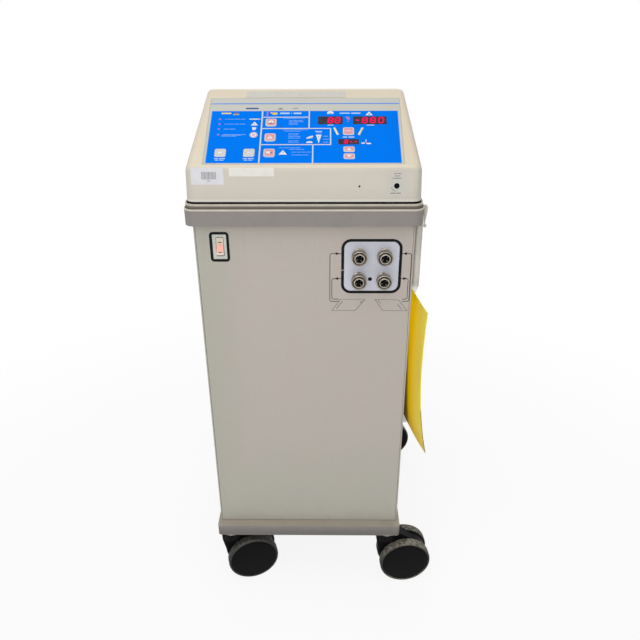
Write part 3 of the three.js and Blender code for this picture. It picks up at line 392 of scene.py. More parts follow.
def window():
    """Dark tinted window, faintly purple, with dust and a soft grid of unlit segments."""
    finish = Finish("display_window", (0.022, 0.020, 0.032))
    haze = finish.noise(9, 3).rise(0.35, 0.8)
    finish.coat(haze, (0.042, 0.036, 0.055))
    finish.coat(finish.cells(1.3).fall(0.02, 0.14) * 0.25, (0.16, 0.14, 0.16))
    return finish.set(0.14 + haze * 0.12, shine=0.2)


def plastic(name, colour, worn, gloss=0.4, grain=0.7, strength=0.1, patch=18, shine=0.5):
    """Moulded plastic with a fine spark-eroded grain and a few rubbed patches."""
    finish = Finish(name, colour)
    cloud = finish.noise(patch, 4).rise(0.4, 0.72)
    finish.coat(cloud * 0.4, worn)
    finish.coat(finish.noise(2.2, 2).rise(0.68, 0.78) * 0.32, worn)
    return finish.set(gloss + cloud * 0.16, finish.noise(grain), strength, shine)


def metal(name, colour, tarnish, gloss=0.3, patch=8, share=0.6, metallic=1.0):
    """Bare or plated metal: tarnished patches are duller, rougher and less metallic."""
    finish = Finish(name, colour)
    stain = finish.noise(patch, 4).rise(0.45, 0.72)
    grain = finish.noise(1.2)
    finish.coat(stain * share, tarnish)
    finish.coat(grain * 0.25, tuple(part * 0.7 for part in colour))
    return finish.set(gloss + stain * 0.2, grain, 0.08, Metallic=metallic - stain * 0.35)


ROCKER_MARKS = ((718.4, 3.3, 1.1), (702.9, 3.5, 0.95))


def rocker():
    """Lit rocker lens: cream ends, a glowing pink middle and two dark moulded marks.

    Each mark is an ellipse of a height and two half sizes, faded where its x^2 + z^2 is 0.5 to 1.5.
    """
    finish = Finish("rocker_lens", (0.74, 0.66, 0.53))
    height = finish.axis("Z")
    across = finish.axis("X") - rocker_middle[0]
    cloud = finish.noise(5, 3).rise(0.35, 0.75)
    finish.coat(height.rise(699, 706) * height.fall(712, 718), (0.98, 0.44, 0.35))
    finish.coat(cloud * 0.25, (0.80, 0.62, 0.50))
    for level, half_width, half_height in ROCKER_MARKS:
        x = across / half_width
        z = (height - level) / half_height
        finish.coat((x * x + z * z).fall(0.5, 1.5) * 0.95, (0.13, 0.09, 0.065))
    return finish.set(0.22 + cloud * 0.1, finish.noise(1.2), 0.05)


def chipped_black():
    """Thick black enamel line with small chips through to the pale coat and scuffed edges."""
    finish = Finish("black_enamel", (0.0055, 0.0055, 0.006))
    dull = finish.noise(9, 3).rise(0.4, 0.7)
    finish.coat(dull * 0.5, (0.020, 0.018, 0.018))
    finish.coat(finish.noise(3.4, 4).rise(0.715, 0.735), (0.36, 0.33, 0.29))
    return finish.set(0.3 + dull * 0.25, finish.noise(1.3), 0.12, 0.1)


def tread():
    """Black rubber tread, with patchy grey-brown dust where it faces up, most on the right."""
    finish = Finish("tread_rubber", (0.009, 0.009, 0.0095))
    patch = finish.noise(6, 5, (1, 1, 1), 0.65).rise(0.40, 0.62)
    rolled = 0.3 + finish.axis("X").rise(-60, 60) * 0.7
    lying = finish.facing("Z").rise(0.0, 0.85) * rolled
    finish.coat(finish.noise(1.6, 3).rise(0.35, 0.7) * 0.15, (0.040, 0.037, 0.033))
    finish.coat(lying * (0.2 + patch * 0.8), (0.27, 0.245, 0.19))
    return finish.set(0.62 + patch * 0.2, finish.noise(1.8, 4), 0.3)


def caster_plastic():
    """Glossy black caster plastic with scuffs and fine dust in its lower half."""
    finish = Finish("caster_black", (0.0045, 0.0045, 0.0052))
    scuff = finish.noise(12, 5, (1, 1, 0.3)).rise(0.6, 0.78)
    dust = finish.axis("Z").fall(5, 90) * finish.noise(5, 4).rise(0.45, 0.8)
    finish.coat(scuff * 0.2, (0.024, 0.023, 0.022))
    finish.coat(dust * 0.12, (0.07, 0.065, 0.055))
    return finish.set(0.42 + scuff * 0.25 + dust * 0.2, finish.noise(2.2), 0.06, 0.05)


def vinyl():
    """Clear soft vinyl gone slightly milky, with ripples; its hem is doubled and almost opaque."""
    finish = Finish("clear_vinyl", (0.56, 0.525, 0.46))
    hem = finish.axis("Z").rise(636, 646) * finish.axis("Y").fall(16.6, 17.4)
    ripple = finish.noise(30, 3, (1, 1, 3))
    cloud = ripple.rise(0.35, 0.75)
    finish.coat(cloud, (0.64, 0.605, 0.545))
    clear = 0.24 + cloud * 0.2 + hem * 0.62
    return finish.set(0.2 + cloud * 0.15, ripple, 0.25, distance=0.002, Alpha=clear.least(1.0))


def card():
    """Thin yellow card that lets light through, with a faint painted glow: painted light makes it paler
    near its front edge; it is darker towards the foot, with painted shade deep inside low down and a
    dark brown edge low down.
    """
    finish = Finish("yellow_card", (0.78, 0.62, 0.002))
    height = finish.axis("Z")
    depth = finish.axis("Y")
    patch = finish.noise(40, 4, (1, 1, 2)).rise(0.4, 0.7)
    fibre = finish.noise(1.5, 3, (1, 1, 4))
    brown = (0.13, 0.075, 0.02)
    # Painted light: paler towards the front edge, where the leaf flares out towards the lamps.
    finish.coat(depth.fall(50, 96), (1.0, 0.78, 0.14))
    finish.coat(patch * 0.15, (0.88, 0.68, 0.10))
    finish.coat(fibre * 0.06, (0.70, 0.52, 0.05))
    # Darker towards the foot.
    finish.coat(height.fall(300, 345) * 0.45, (0.55, 0.38, 0.08))
    # Painted shade deep inside the folder, near its spine, low down.
    finish.coat(depth.rise(98, 122) * height.fall(395, 540) * 0.9, brown)
    # Dark brown on the edge that faces the front, low down.
    finish.coat(finish.facing("Y").fall(-0.98, -0.9) * height.fall(384, 398), brown)
    # The faint emission is a painted glow, standing in for light that comes through the card.
    return finish.set(
        0.62 + patch * 0.1, fibre, 0.2, 0.2, Subsurface_Weight=0.8, Subsurface_Scale=0.004,
        Subsurface_Radius=(1.0, 0.75, 0.2), Emission_Color=finish.shade, Emission_Strength=0.19,
    )


def paper(name, colour, worn):
    """Matt paper label or cloth tape with curled, dirtied patches."""
    finish = Finish(name, colour)
    patch = finish.noise(10, 4).rise(0.45, 0.75)
    finish.coat(patch * 0.4, worn)
    return finish.set(0.55 + patch * 0.15, finish.noise(0.8), 0.08)


def board():
    """Green circuit board with a lacquer sheen and fine copper lines."""
    finish = Finish("circuit_board", (0.012, 0.085, 0.028))
    values = {"Vector": finish.place(), "Scale": 160.0, "Distortion": 6.0, "Detail": 2.0}
    lines = finish.node("ShaderNodeTexWave", values, "Fac").rise(0.6, 0.8)
    finish.coat(lines, (0.03, 0.16, 0.05))
    return finish.set(0.32 + lines * 0.1, lines, 0.1)


# The frame's own materials have the same names, so Blender numbers these: the part before the dot
# is the slot's name.
FINISHES = {made.name.split(".")[0]: made for made in (
    cabinet_paint(), ivory(), taupe(), film(), window(), board(), rocker(),
    plastic("black_plastic", (0.0095, 0.0095, 0.0105), (0.03, 0.028, 0.027), 0.38),
    plastic("pale_plastic", (0.60, 0.62, 0.56), (0.48, 0.48, 0.42), 0.32),
    plastic("pink_key", (0.76, 0.35, 0.385), (0.67, 0.29, 0.32), 0.45, 0.8, 0.1, 6, 0.15),
    plastic("grey_key", (0.60, 0.615, 0.60), (0.50, 0.50, 0.47), 0.45, 0.8, 0.1, 6),
    plastic("coupling_plate", (0.62, 0.63, 0.715), (0.545, 0.535, 0.58), 0.35),
    plastic("tank_plastic", (0.66, 0.67, 0.62), (0.55, 0.56, 0.50), 0.5, 1.5, 0.15),
    plastic("black_can", (0.012, 0.012, 0.013), (0.05, 0.045, 0.04), 0.32, 1.5, 0.12),
    metal("steel", (0.42, 0.41, 0.39), (0.20, 0.15, 0.10), 0.34),
    metal("grey_casting", (0.20, 0.20, 0.20), (0.12, 0.11, 0.10), 0.55, 10, 0.5, 0.6),
    metal("fin_metal", (0.62, 0.62, 0.60), (0.40, 0.38, 0.34), 0.34, 20, 0.5),
    metal("nickel", (0.60, 0.565, 0.50), (0.30, 0.225, 0.15), 0.26, 5, 0.75),
    caster_plastic(), tread(), vinyl(), card(),
)}
SLEEVE = metal("worn_nickel", (0.40, 0.36, 0.30), (0.15, 0.105, 0.07), 0.32, 4, 0.85)
BLUE = ink("azure_ink", (0.0, 0.195, 0.90), (0.001, 0.178, 0.82), shine=0.01)
WHITE = ink("white_ink", (0.80, 0.82, 0.83), (0.70, 0.73, 0.76))
SMALL = ink("small_word_ink", (0.21, 0.42, 0.86), (0.16, 0.36, 0.82))
HEADING = ink("heading_ink", (0.50, 0.66, 0.90), (0.42, 0.58, 0.86))
CREAM = ink("cream_ink", (0.80, 0.66, 0.25), (0.74, 0.58, 0.22))
YELLOW = ink("yellow_ink", (0.88, 0.66, 0.02), (0.80, 0.58, 0.03))
ROSE = ink("rose_ink", (0.62, 0.20, 0.36), (0.55, 0.18, 0.33))
LAMP = ink("lamp_ink", (0.30, 0.16, 0.13), (0.24, 0.13, 0.11))
NAVY = ink("navy_ink", (0.012, 0.075, 0.33), (0.02, 0.09, 0.33))
GREY = ink("grey_ink", (0.20, 0.20, 0.19), (0.26, 0.25, 0.23))
STROKE = ink("flow_line_ink", (0.10, 0.092, 0.083), (0.15, 0.138, 0.124), 0.5)
DARK = ink("dark_ink", (0.035, 0.033, 0.032), (0.09, 0.083, 0.075), 0.5)
PALE = ink("border_ink", (0.70, 0.70, 0.66), (0.62, 0.62, 0.58))
SLASH = ink("slash_ink", (0.90, 0.79, 0.34), (0.86, 0.72, 0.28))
LIT = glowing("lit_segment", (0.1, 0.0, 0.01), (1.0, 0.0, 0.10))
ENAMEL = chipped_black()
TAPE = paper("white_tape", (0.77, 0.755, 0.70), (0.66, 0.63, 0.56))
WORN_TAPE = paper("worn_tape", (0.595, 0.58, 0.53), (0.51, 0.485, 0.43))
LABEL = paper("paper_label", (0.70, 0.70, 0.73), (0.60, 0.58, 0.58))
INLAY = paper("jack_label", (0.575, 0.55, 0.495), (0.53, 0.50, 0.45))
# Near black standing for shade where light does not reach: in holes, in the gap round the head and in
# the couplings' bores.
SHADE_BLACK = plastic("dark_hole", (0.004, 0.004, 0.004), (0.010, 0.009, 0.008), 0.7, shine=0.05)
for node in nodes.values():
    for place in node.material_slots:
        place.material = FINISHES[place.material.name]


# Flat faces of the cart, outlines on them, and meshes made from stacked loops.

def node_places(node):
    """A CAD node's corners in cart millimetres."""
    mesh = nodes[node].data
    places = np.empty(len(mesh.vertices) * 3)
    mesh.vertices.foreach_get("co", places)
    return places.reshape(-1, 3) / MM - START


class Face:
    """A flat place: across is x, up leans back from upright by lean degrees, out is square to both."""

    def __init__(self, origin, lean):
        angle = math.radians(lean)
        self.origin = np.array(origin, float)
        self.out = np.array([0.0, -math.cos(angle), math.sin(angle)])
        self.axes = np.array([[1.0, 0.0, 0.0], [0.0, math.sin(angle), math.cos(angle)], self.out])

    def put(self, points, height):
        """Points (across, up) at a height out from the face become cart places."""
        points = np.asarray(points, float)
        heights = np.broadcast_to(height, points.shape[:-1])
        local = np.concatenate([points, heights[..., None]], axis=-1)
        return self.origin + local @ self.axes

    def span(self, node):
        """A node's middle (across, up), its width and height, and its lowest and highest out."""
        local = (node_places(node) - self.origin) @ self.axes.T
        low = local.min(0)
        high = local.max(0)
        return (low[:2] + high[:2]) / 2, (high - low)[:2], low[2], high[2]


LEAST_SIDE = 0.01


def polar(angle):
    """(cos a, sin a) for every angle."""
    return np.stack([np.cos(angle), np.sin(angle)], -1)


def unit(steps):
    """Every step with its length made 1."""
    return steps / np.linalg.norm(steps, axis=-1, keepdims=True)


def rounded(width, height, radius, centre=(0.0, 0.0), steps=4):
    """Rectangle outline whose corners are quarter circles: corner centre + radius (cos a, sin a)."""
    radius = max(min(radius, width / 2 - LEAST_SIDE, height / 2 - LEAST_SIDE), LEAST_SIDE)
    angle = (np.arange(4)[:, None] + np.linspace(0, 1, steps + 1)) * math.pi / 2
    sign = np.array([[1, 1], [-1, 1], [-1, -1], [1, -1]], float)
    corner = sign * (np.array([width, height]) / 2 - radius)
    return (corner[:, None] + polar(angle) * radius).reshape(-1, 2) + centre


def oval(width, height, centre=(0.0, 0.0), sides=20):
    """Ellipse outline: centre + half sizes times (cos a, sin a)."""
    return polar(np.arange(sides) * 2 * math.pi / sides) * (width / 2, height / 2) + centre


def dome(width, height, centre=(0.0, 0.0), sides=10):
    """Half ellipse outline standing on its flat side."""
    return polar(np.linspace(0, math.pi, sides + 1)) * (width / 2, height) + centre


def triangle(width, height, centre=(0.0, 0.0), turn=0.0):
    """Triangle outline: base half widths and an apex, turned about its middle by turn degrees."""
    shape = np.array([[-width / 2, -height / 2], [width / 2, -height / 2], [0, height / 2]])
    across, up = polar(math.radians(turn))
    return shape @ np.array([[across, up], [-up, across]]) + centre


def anticlockwise(outline):
    """The outline in the turning sense that gives it a positive area."""
    outline = np.asarray(outline, float)
    after = np.roll(outline, -1, 0)
    area = np.sum(outline[:, 0] * after[:, 1] - outline[:, 1] * after[:, 0])
    return outline if area > 0 else outline[::-1]


def line(points, thickness):
    """Outline of an even stroke: each point moves half the thickness along its mitred normal."""
    points = np.asarray(points, float)
    step = unit(np.diff(points, axis=0))
    after = np.vstack([step, step[-1:]])
    along = unit(np.vstack([step[:1], step]) + after)
    normal = np.stack([-along[:, 1], along[:, 0]], -1)
    offset = normal * thickness / 2 / np.sum(along * after, axis=1)[:, None]
    return np.vstack([points + offset, (points - offset)[::-1]])


def bent(points, radius, steps=5):
    """A path whose inner corners are cut by curves: Bezier between points radius before and after."""
    points = np.asarray(points, float)
    step = unit(np.diff(points, axis=0))[:, None] * radius
    share = np.linspace(0, 1, steps + 1)[:, None]
    corner = points[1:-1, None]
    start = corner - step[:-1]
    end = corner + step[1:]
    curve = start * (1 - share) ** 2 + corner * 2 * share * (1 - share) + end * share ** 2
    return np.vstack([points[:1], curve.reshape(-1, 2), points[-1:]])


def level_loop(outline, height):
    """A floor plan outline raised to a height."""
    return np.column_stack([outline, np.full(len(outline), float(height))])


def stacked(loops, wrap=False):
    """Skin over a stack of closed loops, shape (rows, count, 3): quads between neighbouring loops.

    The ends are closed by flat faces, or with wrap the last loop joins the first one.
    """
    loops = np.asarray(loops, float)
    rows, count = loops.shape[:2]
    places = np.arange(rows * count).reshape(rows, count)
    upper = np.roll(places, -1, 0) if wrap else places[1:]
    lower = places if wrap else places[:-1]
    quads = np.stack([lower, np.roll(lower, -1, 1), np.roll(upper, -1, 1), upper], -1)
    faces = quads.reshape(-1, 4).tolist()
    if not wrap:
        faces += [places[0, ::-1].tolist(), places[-1].tolist()]
    return loops.reshape(-1, 3), faces


def turned(profile, centre, axis, sides, wrap=False, ridge=None):
    """Surface of revolution: radius and distance along the axis from profile, turned about centre.

    With ridge = (count, depth, first row, row after the last) those rows swell by depth times
    cos(count a / 2) squared.
    """
    axis = unit(np.asarray(axis, float))
    helper = np.array([0.0, 0.0, 1.0]) if abs(axis[2]) < 0.9 else np.array([1.0, 0.0, 0.0])
    first = unit(np.cross(helper, axis))
    angle = np.arange(sides) * 2 * math.pi / sides
    ray = polar(angle) @ np.stack([first, np.cross(axis, first)])
    profile = np.asarray(profile, float)
    radius = np.repeat(profile[:, :1], sides, 1)
    if ridge:
        count, depth, low, high = ridge
        radius[low:high] += depth * np.cos(angle * count / 2) ** 2
    loops = centre + radius[..., None] * ray + (profile[:, 1, None] * axis)[:, None]
    return stacked(loops, wrap)


def dressed(name, mesh, finish, sharp):
    """A new object of one finish, smooth but for edges that turn by more than sharp degrees."""
    mesh.materials.clear()
    mesh.materials.append(finish)
    mesh.shade_smooth()
    mesh.set_sharp_from_angle(angle=math.radians(sharp))
    return added(name, mesh)


def piece(name, parts, finish, body, replaced=(), sharp=35.0):
    """One object made of closed skins, each (corners in cart millimetres, faces)."""
    corners = np.vstack([places for places, polygons in parts])
    faces = []
    count = 0
    for places, polygons in parts:
        faces += [[index + count for index in polygon] for polygon in polygons]
        count += len(places)
    mesh = bpy.data.meshes.new(name)
    mesh.from_pydata(((corners + START) * MM).tolist(), [], faces)
    made = dressed(name, mesh, finish, sharp)
    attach(made, body)
    if replaced:
        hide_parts(*replaced)


def body_of_node(node):
    return nodes[node].parent.name.removeprefix("body:")


SAME_PLACE = 2e-6
FLAT_ANGLE = math.radians(0.6)


def softened(node, width, segments=3, sharp=30.0, finish=None):
    """A CAD node's merged copy with rounded edges, standing for the node."""
    source = nodes[node]
    mesh = source.data.copy()
    mesh.name = node + "_finished"
    work = bmesh.new()
    work.from_mesh(mesh)
    bmesh.ops.remove_doubles(work, verts=work.verts, dist=SAME_PLACE)
    bmesh.ops.dissolve_limit(work, angle_limit=FLAT_ANGLE, verts=work.verts, edges=work.edges)
    work.to_mesh(mesh)
    work.free()
    made = dressed(node + "_finished", mesh, finish or source.material_slots[0].material, sharp)
    bevel = made.modifiers.new("edge", "BEVEL")
    bevel.width = width * MM
    bevel.segments = segments
    bevel.limit_method = "ANGLE"
    bevel.angle_limit = math.radians(sharp)
    bevel.harden_normals = True
    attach(made, body_of_node(node))
    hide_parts(node)


# Cabinet, base, collar, head and the parts inside, with rounded edges of these widths.

EDGES = {
    "base_plate": 1.6, "cabinet_shell": 1.0, "front_panel": 0.5, "rear_panel": 0.5, "top_collar": 0.5,
    "head_housing": 0.5, "control_overlay": 0.25, "power_inlet": 0.5, "coupling_plate": 1.0,
    "switch_body": 0.5, "power_rocker": 0.4, "water_reservoir": 1.5, "fill_cap": 1.2,
    "water_heater": 1.0, "water_pump": 0.8, "compressor": 1.2, "fan_motor": 0.8, "power_supply": 0.6,
}
DISPLAYS = ("water_display", "patient_display", "setpoint_display")
for node in DISPLAYS:
    EDGES[node] = 0.1
for corner in CORNERS:
    EDGES["caster_hood_" + corner] = 1.2
    EDGES["caster_stem_" + corner] = 0.8
for node, width in EDGES.items():
    softened(node, width)
softened("document_pocket", 0.3, 2, 50.0)
softened("probe_jack", 0.25, finish=FINISHES["pale_plastic"])


# Control face.

HEAD_FOOT = (0.0, -9.2, 774.8)
HEAD_ANGLE = 81.84
SLOPE = Face((0.0, film_y, film_z), 90 - SLOPE_ANGLE)
FRONT = Face((0.0, 0.0, 0.0), 0.0)
HEAD_FACE = Face(HEAD_FOOT, 90 - HEAD_ANGLE)


class Prints:
    """Thin closed slabs on one face, gathered into one piece for each ink.

    Depth is a slab's lowest and highest place out from the face.
    """

    def __init__(self, face, body="cart"):
        self.face = face
        self.body = body
        self.parts = {}

    def keep(self, ink_used, loops, wrap=False):
        """Keeps the skin over some loops, each (outline, height)."""
        skin = stacked([self.face.put(outline, height) for outline, height in loops], wrap)
        self.parts.setdefault(ink_used, []).append(skin)

    def add(self, ink_used, depth, *outlines):
        for outline in outlines:
            self.keep(ink_used, [(anticlockwise(outline), height) for height in depth])

    def ring(self, ink_used, depth, outer, inner):
        low, high = depth
        self.keep(ink_used, [(outer, low), (outer, high), (inner, high), (inner, low)], True)

    def words(self, ink_used, depth, tall, *rows):
        """Blank bars in place of words; a row is (start, middle height, lengths)."""
        for x, y, lengths in rows:
            for length in lengths:
                self.add(ink_used, depth, rounded(length, tall, tall * 0.3, (x + length / 2, y), 1))
                x += length + tall * 0.7

    def make(self, prefix):
        for ink_used, parts in self.parts.items():
            piece(prefix + "_" + ink_used.name, parts, ink_used, self.body)


# Depths of the slabs on the control face. Words at least LARGE tall are headings.
LAYER = 0.05
PRINT = (LAYER * 0.5, LAYER * 2)
WORDS = (LAYER * 0.5, LAYER * 1.8)
UPPER = (LAYER, LAYER * 3)
BAND = (-LAYER, LAYER)
LARGE = 1.5
control = Prints(SLOPE)


def on_blue(ink_used, *outlines):
    control.add(ink_used, PRINT, *outlines)


def blue_words(tall, *rows):
    control.words(SMALL if tall < LARGE else HEADING, WORDS, tall, *rows)


# Pale dividers on the blue field.
for ends, thickness in (
    (((-65.8, 2.2), (-65.8, 114.3)), 2.1),
    (((7.2, 75.0), (7.2, 114.3)), 1.8),
    (((-65.8, 100.2), (7.2, 100.2)), 1.7),
    (((-65.8, 75.0), (41.2, 75.0)), 1.7),
    (((40.3, 75.8), (40.3, 39.5)), 1.8),
    (((-65.8, 40.3), (41.2, 40.3)), 1.7),
    (((13.5, 40.3), (13.5, 2.2)), 1.9),
):
    on_blue(PALE, line(ends, thickness))

KEYS = {
    "grey_key": ("alarm_silence", "display_test"),
    "pink_key": ("manual_mode", "auto_mode", "monitor_mode", "set", "up", "down"),
}
KEY_FOOT = -2.0
KEY_ROLL = 0.55
KEY_CROWN = 0.18


def key_cap(node, finish):
    """Domed key: loops shrink inwards while their height follows a quarter circle, then a low crown."""
    centre, (width, height), _, top = SLOPE.span(node)
    turn = np.linspace(0, math.pi / 2, 5)
    edge = top - KEY_CROWN - KEY_ROLL * (1 - np.sin(turn))
    crown = top - KEY_CROWN * (1 - np.linspace(0.3, 1.0, 5) ** 0.6)
    inset = np.concatenate([[0.0], KEY_ROLL * (1 - np.cos(turn)), np.linspace(0.16, 0.46, 5) * height])
    loops = [
        SLOPE.put(rounded(width - 2 * cut, height - 2 * cut, 3.0 - cut * 0.5, centre, 5), rise)
        for cut, rise in zip(inset, [KEY_FOOT, *edge, *crown])
    ]
    piece(node + "_cap", [stacked(loops)], PALE, node, (node,), 50)
    face = Prints(SLOPE, node)
    face.add(finish, (top - 0.2, top + 0.02), rounded(width - 3.4, height - 3.2, 2.2, centre, 5))
    face.make(node)


for slot_name, keys in KEYS.items():
    for name in keys:
        key_cap(name + "_button", FINISHES[slot_name])
for node in DISPLAYS:
    centre, size, _, _ = SLOPE.span(node)
    control.ring(DARK, PRINT, rounded(*(size + 1.2), 1.4, centre), rounded(*size, 1, centre))

# Small printed marks on the keys' crowns, about each key's middle.
KEY_MARKS = {
    "up": ((WHITE, triangle(8.5, 5.2)),),
    "down": ((WHITE, triangle(8.5, 5.2, turn=180)),),
    "manual_mode": (
        (WHITE, dome(9, 5.2, (0, -1.2))), (NAVY, rounded(6.4, 1.2, 0.4, (0, -3.4))),
        (NAVY, dome(2.6, 1.4, (0, -0.6))),
    ),
    "auto_mode": ((WHITE, triangle(8.5, 7)), (ROSE, rounded(1.2, 3.0, 0.4, (0, -0.8)))),
    "monitor_mode": (
        (WHITE, rounded(7, 4.4, 1.2, (-1, 0))), (DARK, rounded(1.8, 4.0, 0.6, (2.6, -0.3))),
        (NAVY, rounded(1.0, 1.6, 0.3, (4.4, 0))),
    ),
    "set": ((WHITE, rounded(7.5, 1.3, 0.4, (0, 0.2))),),
    "alarm_silence": ((WHITE, dome(6, 3.6, (-0.5, -1.4))),),
    "display_test": ((WHITE, rounded(5.4, 1.2, 0.4, (0, 0.3))),),
}
for name, shapes in KEY_MARKS.items():
    node = name + "_button"
    centre, _, _, top = SLOPE.span(node)
    marks = Prints(SLOPE, node)
    for ink_used, outline in shapes:
        marks.add(ink_used, (top - 0.1, top + 0.07), outline + centre)
    marks.make(node + "_mark")

# Signal lamps on the left, their word bars and white symbols.
for y, lengths in ((96, (3, 10, 9, 7)), (85, (4, 9, 8, 9)), (74, (8, 9)), (62, (9, 8, 7, 8))):
    on_blue(ROSE, oval(3.6, 2.4, (-131, y)))
    blue_words(1.2, (-123.5, y, lengths))
blue_words(1.1, (-126, 58.6, (7, 6, 9)), (-126, 60.6, (9, 5, 8, 6)))
on_blue(
    WHITE, rounded(17, 2.2, 0.8, (-77, 96)), *[oval(3.0, 3.6, (x, 96)) for x in (-83, -77, -71)],
    triangle(11, 8.4, (-77, 86.2)), rounded(6.4, 3.0, 0.8, (-77, 76.4)),
    rounded(4.6, 3.4, 0.8, (-77, 73.6)), oval(12.0, 12.0, (-77, 61.4), 28),
)
on_blue(ROSE, oval(1.6, 2.4, (-77, 85.2)))
control.ring(ROSE, UPPER, oval(10.8, 10.8, (-77, 61.4)), oval(9.2, 9.2, (-77, 61.4)))
control.add(ROSE, UPPER, rounded(5.2, 1.4, 0.5, (-77, 62.6)), rounded(4.2, 1.2, 0.5, (-77, 59.8)))
control.words(CREAM, WORDS, 3.0, (-130, 109.1, (15.5,)))
on_blue(LAMP, dome(8.4, 3.8, (-106.7, 106.8)))
on_blue(CREAM, rounded(9.6, 1.3, 0.5, (-106.7, 106.4)))
for x in (-124.6, -81.7):
    blue_words(1.6, (x - 8.6, 11.6, (6.4, 9.4)), (x - 6.6, 8.4, (5.4, 6.4)))

# Middle column: heading with a pointing mark, and the three modes' words and symbols.
on_blue(ROSE, rounded(1.7, 11, 0.6, (-58, 108)))
on_blue(YELLOW, oval(9.6, 5.0, (-46.6, 108.3)), line(((-49, 109.4), (-53.4, 110.6)), 2.0))
blue_words(3.4, (-38.6, 108.9, (15.5, 1.0, 12.5)))
blue_words(
    1.1, (-33, 97.2, (4, 7, 9, 6, 5)), (-24, 92.6, (5, 8, 7)), (-24, 89.8, (7, 5, 9)),
    (-24, 87.0, (6, 7)), (-24, 84.2, (8, 5)), (-57.5, 79.6, (11.5,)), (-33, 72.0, (9, 6, 8, 7, 5)),
    (-30, 69.2, (8, 6, 9)), (-24, 63.6, (9, 6)), (-24, 60.8, (6, 8)), (-24, 57.2, (8, 10)),
    (-24, 54.0, (10, 7)), (-24, 48.2, (7, 8)), (-24, 45.4, (9, 6)), (-57, 46.8, (10,)),
    (-57.5, 14.0, (13,)), (-37, 33.6, (6, 9, 7, 8)), (-22, 30.2, (8, 9, 4)),
    (-18, 24.6, (7, 6, 8, 5)), (-18, 18.8, (5, 10, 9)),
)
on_blue(
    WHITE, triangle(12.5, 9.5, (-31, 24.2)), triangle(8.6, 18.5, (22.3, 52.2), 180),
    line(((4.2, 53.6), (8.2, 56.4), (13.6, 58.2)), 2.4), rounded(9.6, 2.6, 1.0, (8.4, 45.0)),
)
on_blue(BLUE, triangle(6.0, 3.4, (-31, 20.4)))
on_blue(ROSE, rounded(1.2, 3.4, 0.4, (-31, 25.0)))
on_blue(NAVY, oval(1.5, 2.0, (22.3, 56.6)), oval(1.3, 1.8, (22.3, 52.0)))
on_blue(CREAM, line(((6.2, 53.4), (12.8, 55.2)), 1.4), rounded(6.0, 1.2, 0.5, (9.0, 46.8)))
blue_words(1.4, (29, 58.0, (7.5,)), (29, 51.6, (9.0,)), (29, 45.4, (8.0,)))
blue_words(1.8, (16.6, 68.4, (11,)))
blue_words(1.4, (18.6, 65.4, (8,)))

# Right column: headings, symbols, captions, slanted strokes and the small fan mark.
on_blue(
    WHITE, dome(10.4, 4.4, (40, 109.4)), rounded(10.4, 1.6, 0.6, (40, 108.2)),
    triangle(11.6, 8.6, (100.3, 108.4)), line(((47.3, 76.8), (52.8, 61.3)), 0.8),
    line(((90.7, 76.5), (84.6, 61.0)), 0.8), line(((93.1, 44.6), (94.0, 50.8)), 1.5),
    rounded(5.2, 2.4, 1.0, (89.0, 43.2)), rounded(7.0, 2.4, 1.0, (97.6, 42.4)),
)
on_blue(NAVY, dome(2.6, 1.6, (40, 107.6)))
on_blue(BLUE, oval(2.6, 3.0, (100.3, 106.4)))
blue_words(2.4, (54.4, 108.9, (16, 15)))
blue_words(1.7, (35.4, 82.4, (9.5,)), (95.4, 82.2, (12,)))
blue_words(2.3, (58.6, 56.2, (6.5, 9.5)))
on_blue(
    ROSE, line(((63.6, 100.0), (69.4, 99.0)), 1.8), rounded(4.4, 3.4, 0.8, (67.6, 96.6)),
    oval(1.8, 2.2, (67.4, 90.6)), line(((93.1, 45.0), (93.7, 49.0)), 0.9),
    oval(2.2, 2.2, (93.4, 44.6)),
)
on_blue(SLASH, line(((45.9, 76.8), (51.4, 61.3)), 3.2), line(((89.3, 76.5), (83.2, 61.0)), 3.2))

# Header band: three faint marks.
control.words(NAVY, BAND, 3.0, (-92.5, 120.2, (20,)))
control.add(GREY, BAND, dome(6.5, 2.4, (-38, 118.6)), rounded(9.5, 0.8, 0.3, (-38, 118.2)))
control.words(GREY, BAND, 1.3, (-19, 120.2, (8.6,)))
control.make("print")


# Display segments.

SEGMENTS = {
    "a": ((-1, 1), (1, 1)), "b": ((1, 1), (1, 0)), "c": ((1, 0), (1, -1)), "d": ((-1, -1), (1, -1)),
    "e": ((-1, 0), (-1, -1)), "f": ((-1, 1), (-1, 0)), "g": ((-1, 0), (1, 0)),
}
SEGMENT_GAP = 0.09
DIGIT_LEAN = 0.12
# Each figure: its place across, width, height, lit bars and their thickness.
FIGURES = {
    "water_display": ((0.4, 6.6, 11.4, "abcdefg", 2.4), (11.2, 6.6, 11.4, "abcdefg", 2.4)),
    "patient_display": (
        (-19.2, 6.0, 5.0, "g", 2.4), (-7.6, 6.8, 11.4, "abcdefg", 2.4),
        (4.8, 6.8, 11.4, "abcdefg", 2.4), (17.4, 6.8, 11.4, "abcdef", 2.4),
    ),
    "setpoint_display": (
        (-3.8, 4.4, 6.8, "abcdefg", 2.1), (4.0, 3.4, 2.8, "g", 2.2), (10.6, 3.4, 2.8, "g", 2.2),
    ),
}


def segment(name, centre, width, height, thick):
    """One bar of a seven bar figure: a slanted stroke between two of the figure's six corners."""
    ends = np.array(SEGMENTS[name], float) * (width / 2, height / 2)
    step = (ends[1] - ends[0]) * SEGMENT_GAP
    ends += np.stack([step, -step])
    ends[:, 0] += ends[:, 1] * DIGIT_LEAN
    return line(ends + centre, thick)


for node, figures in FIGURES.items():
    centre, _, _, top = SLOPE.span(node)
    lit = Prints(SLOPE)
    for x, width, height, names, thick in figures:
        bars = [segment(name, centre + (x, 0), width, height, thick) for name in names]
        lit.add(LIT, (top - 0.1, top + 0.05), *bars)
    lit.make(node)


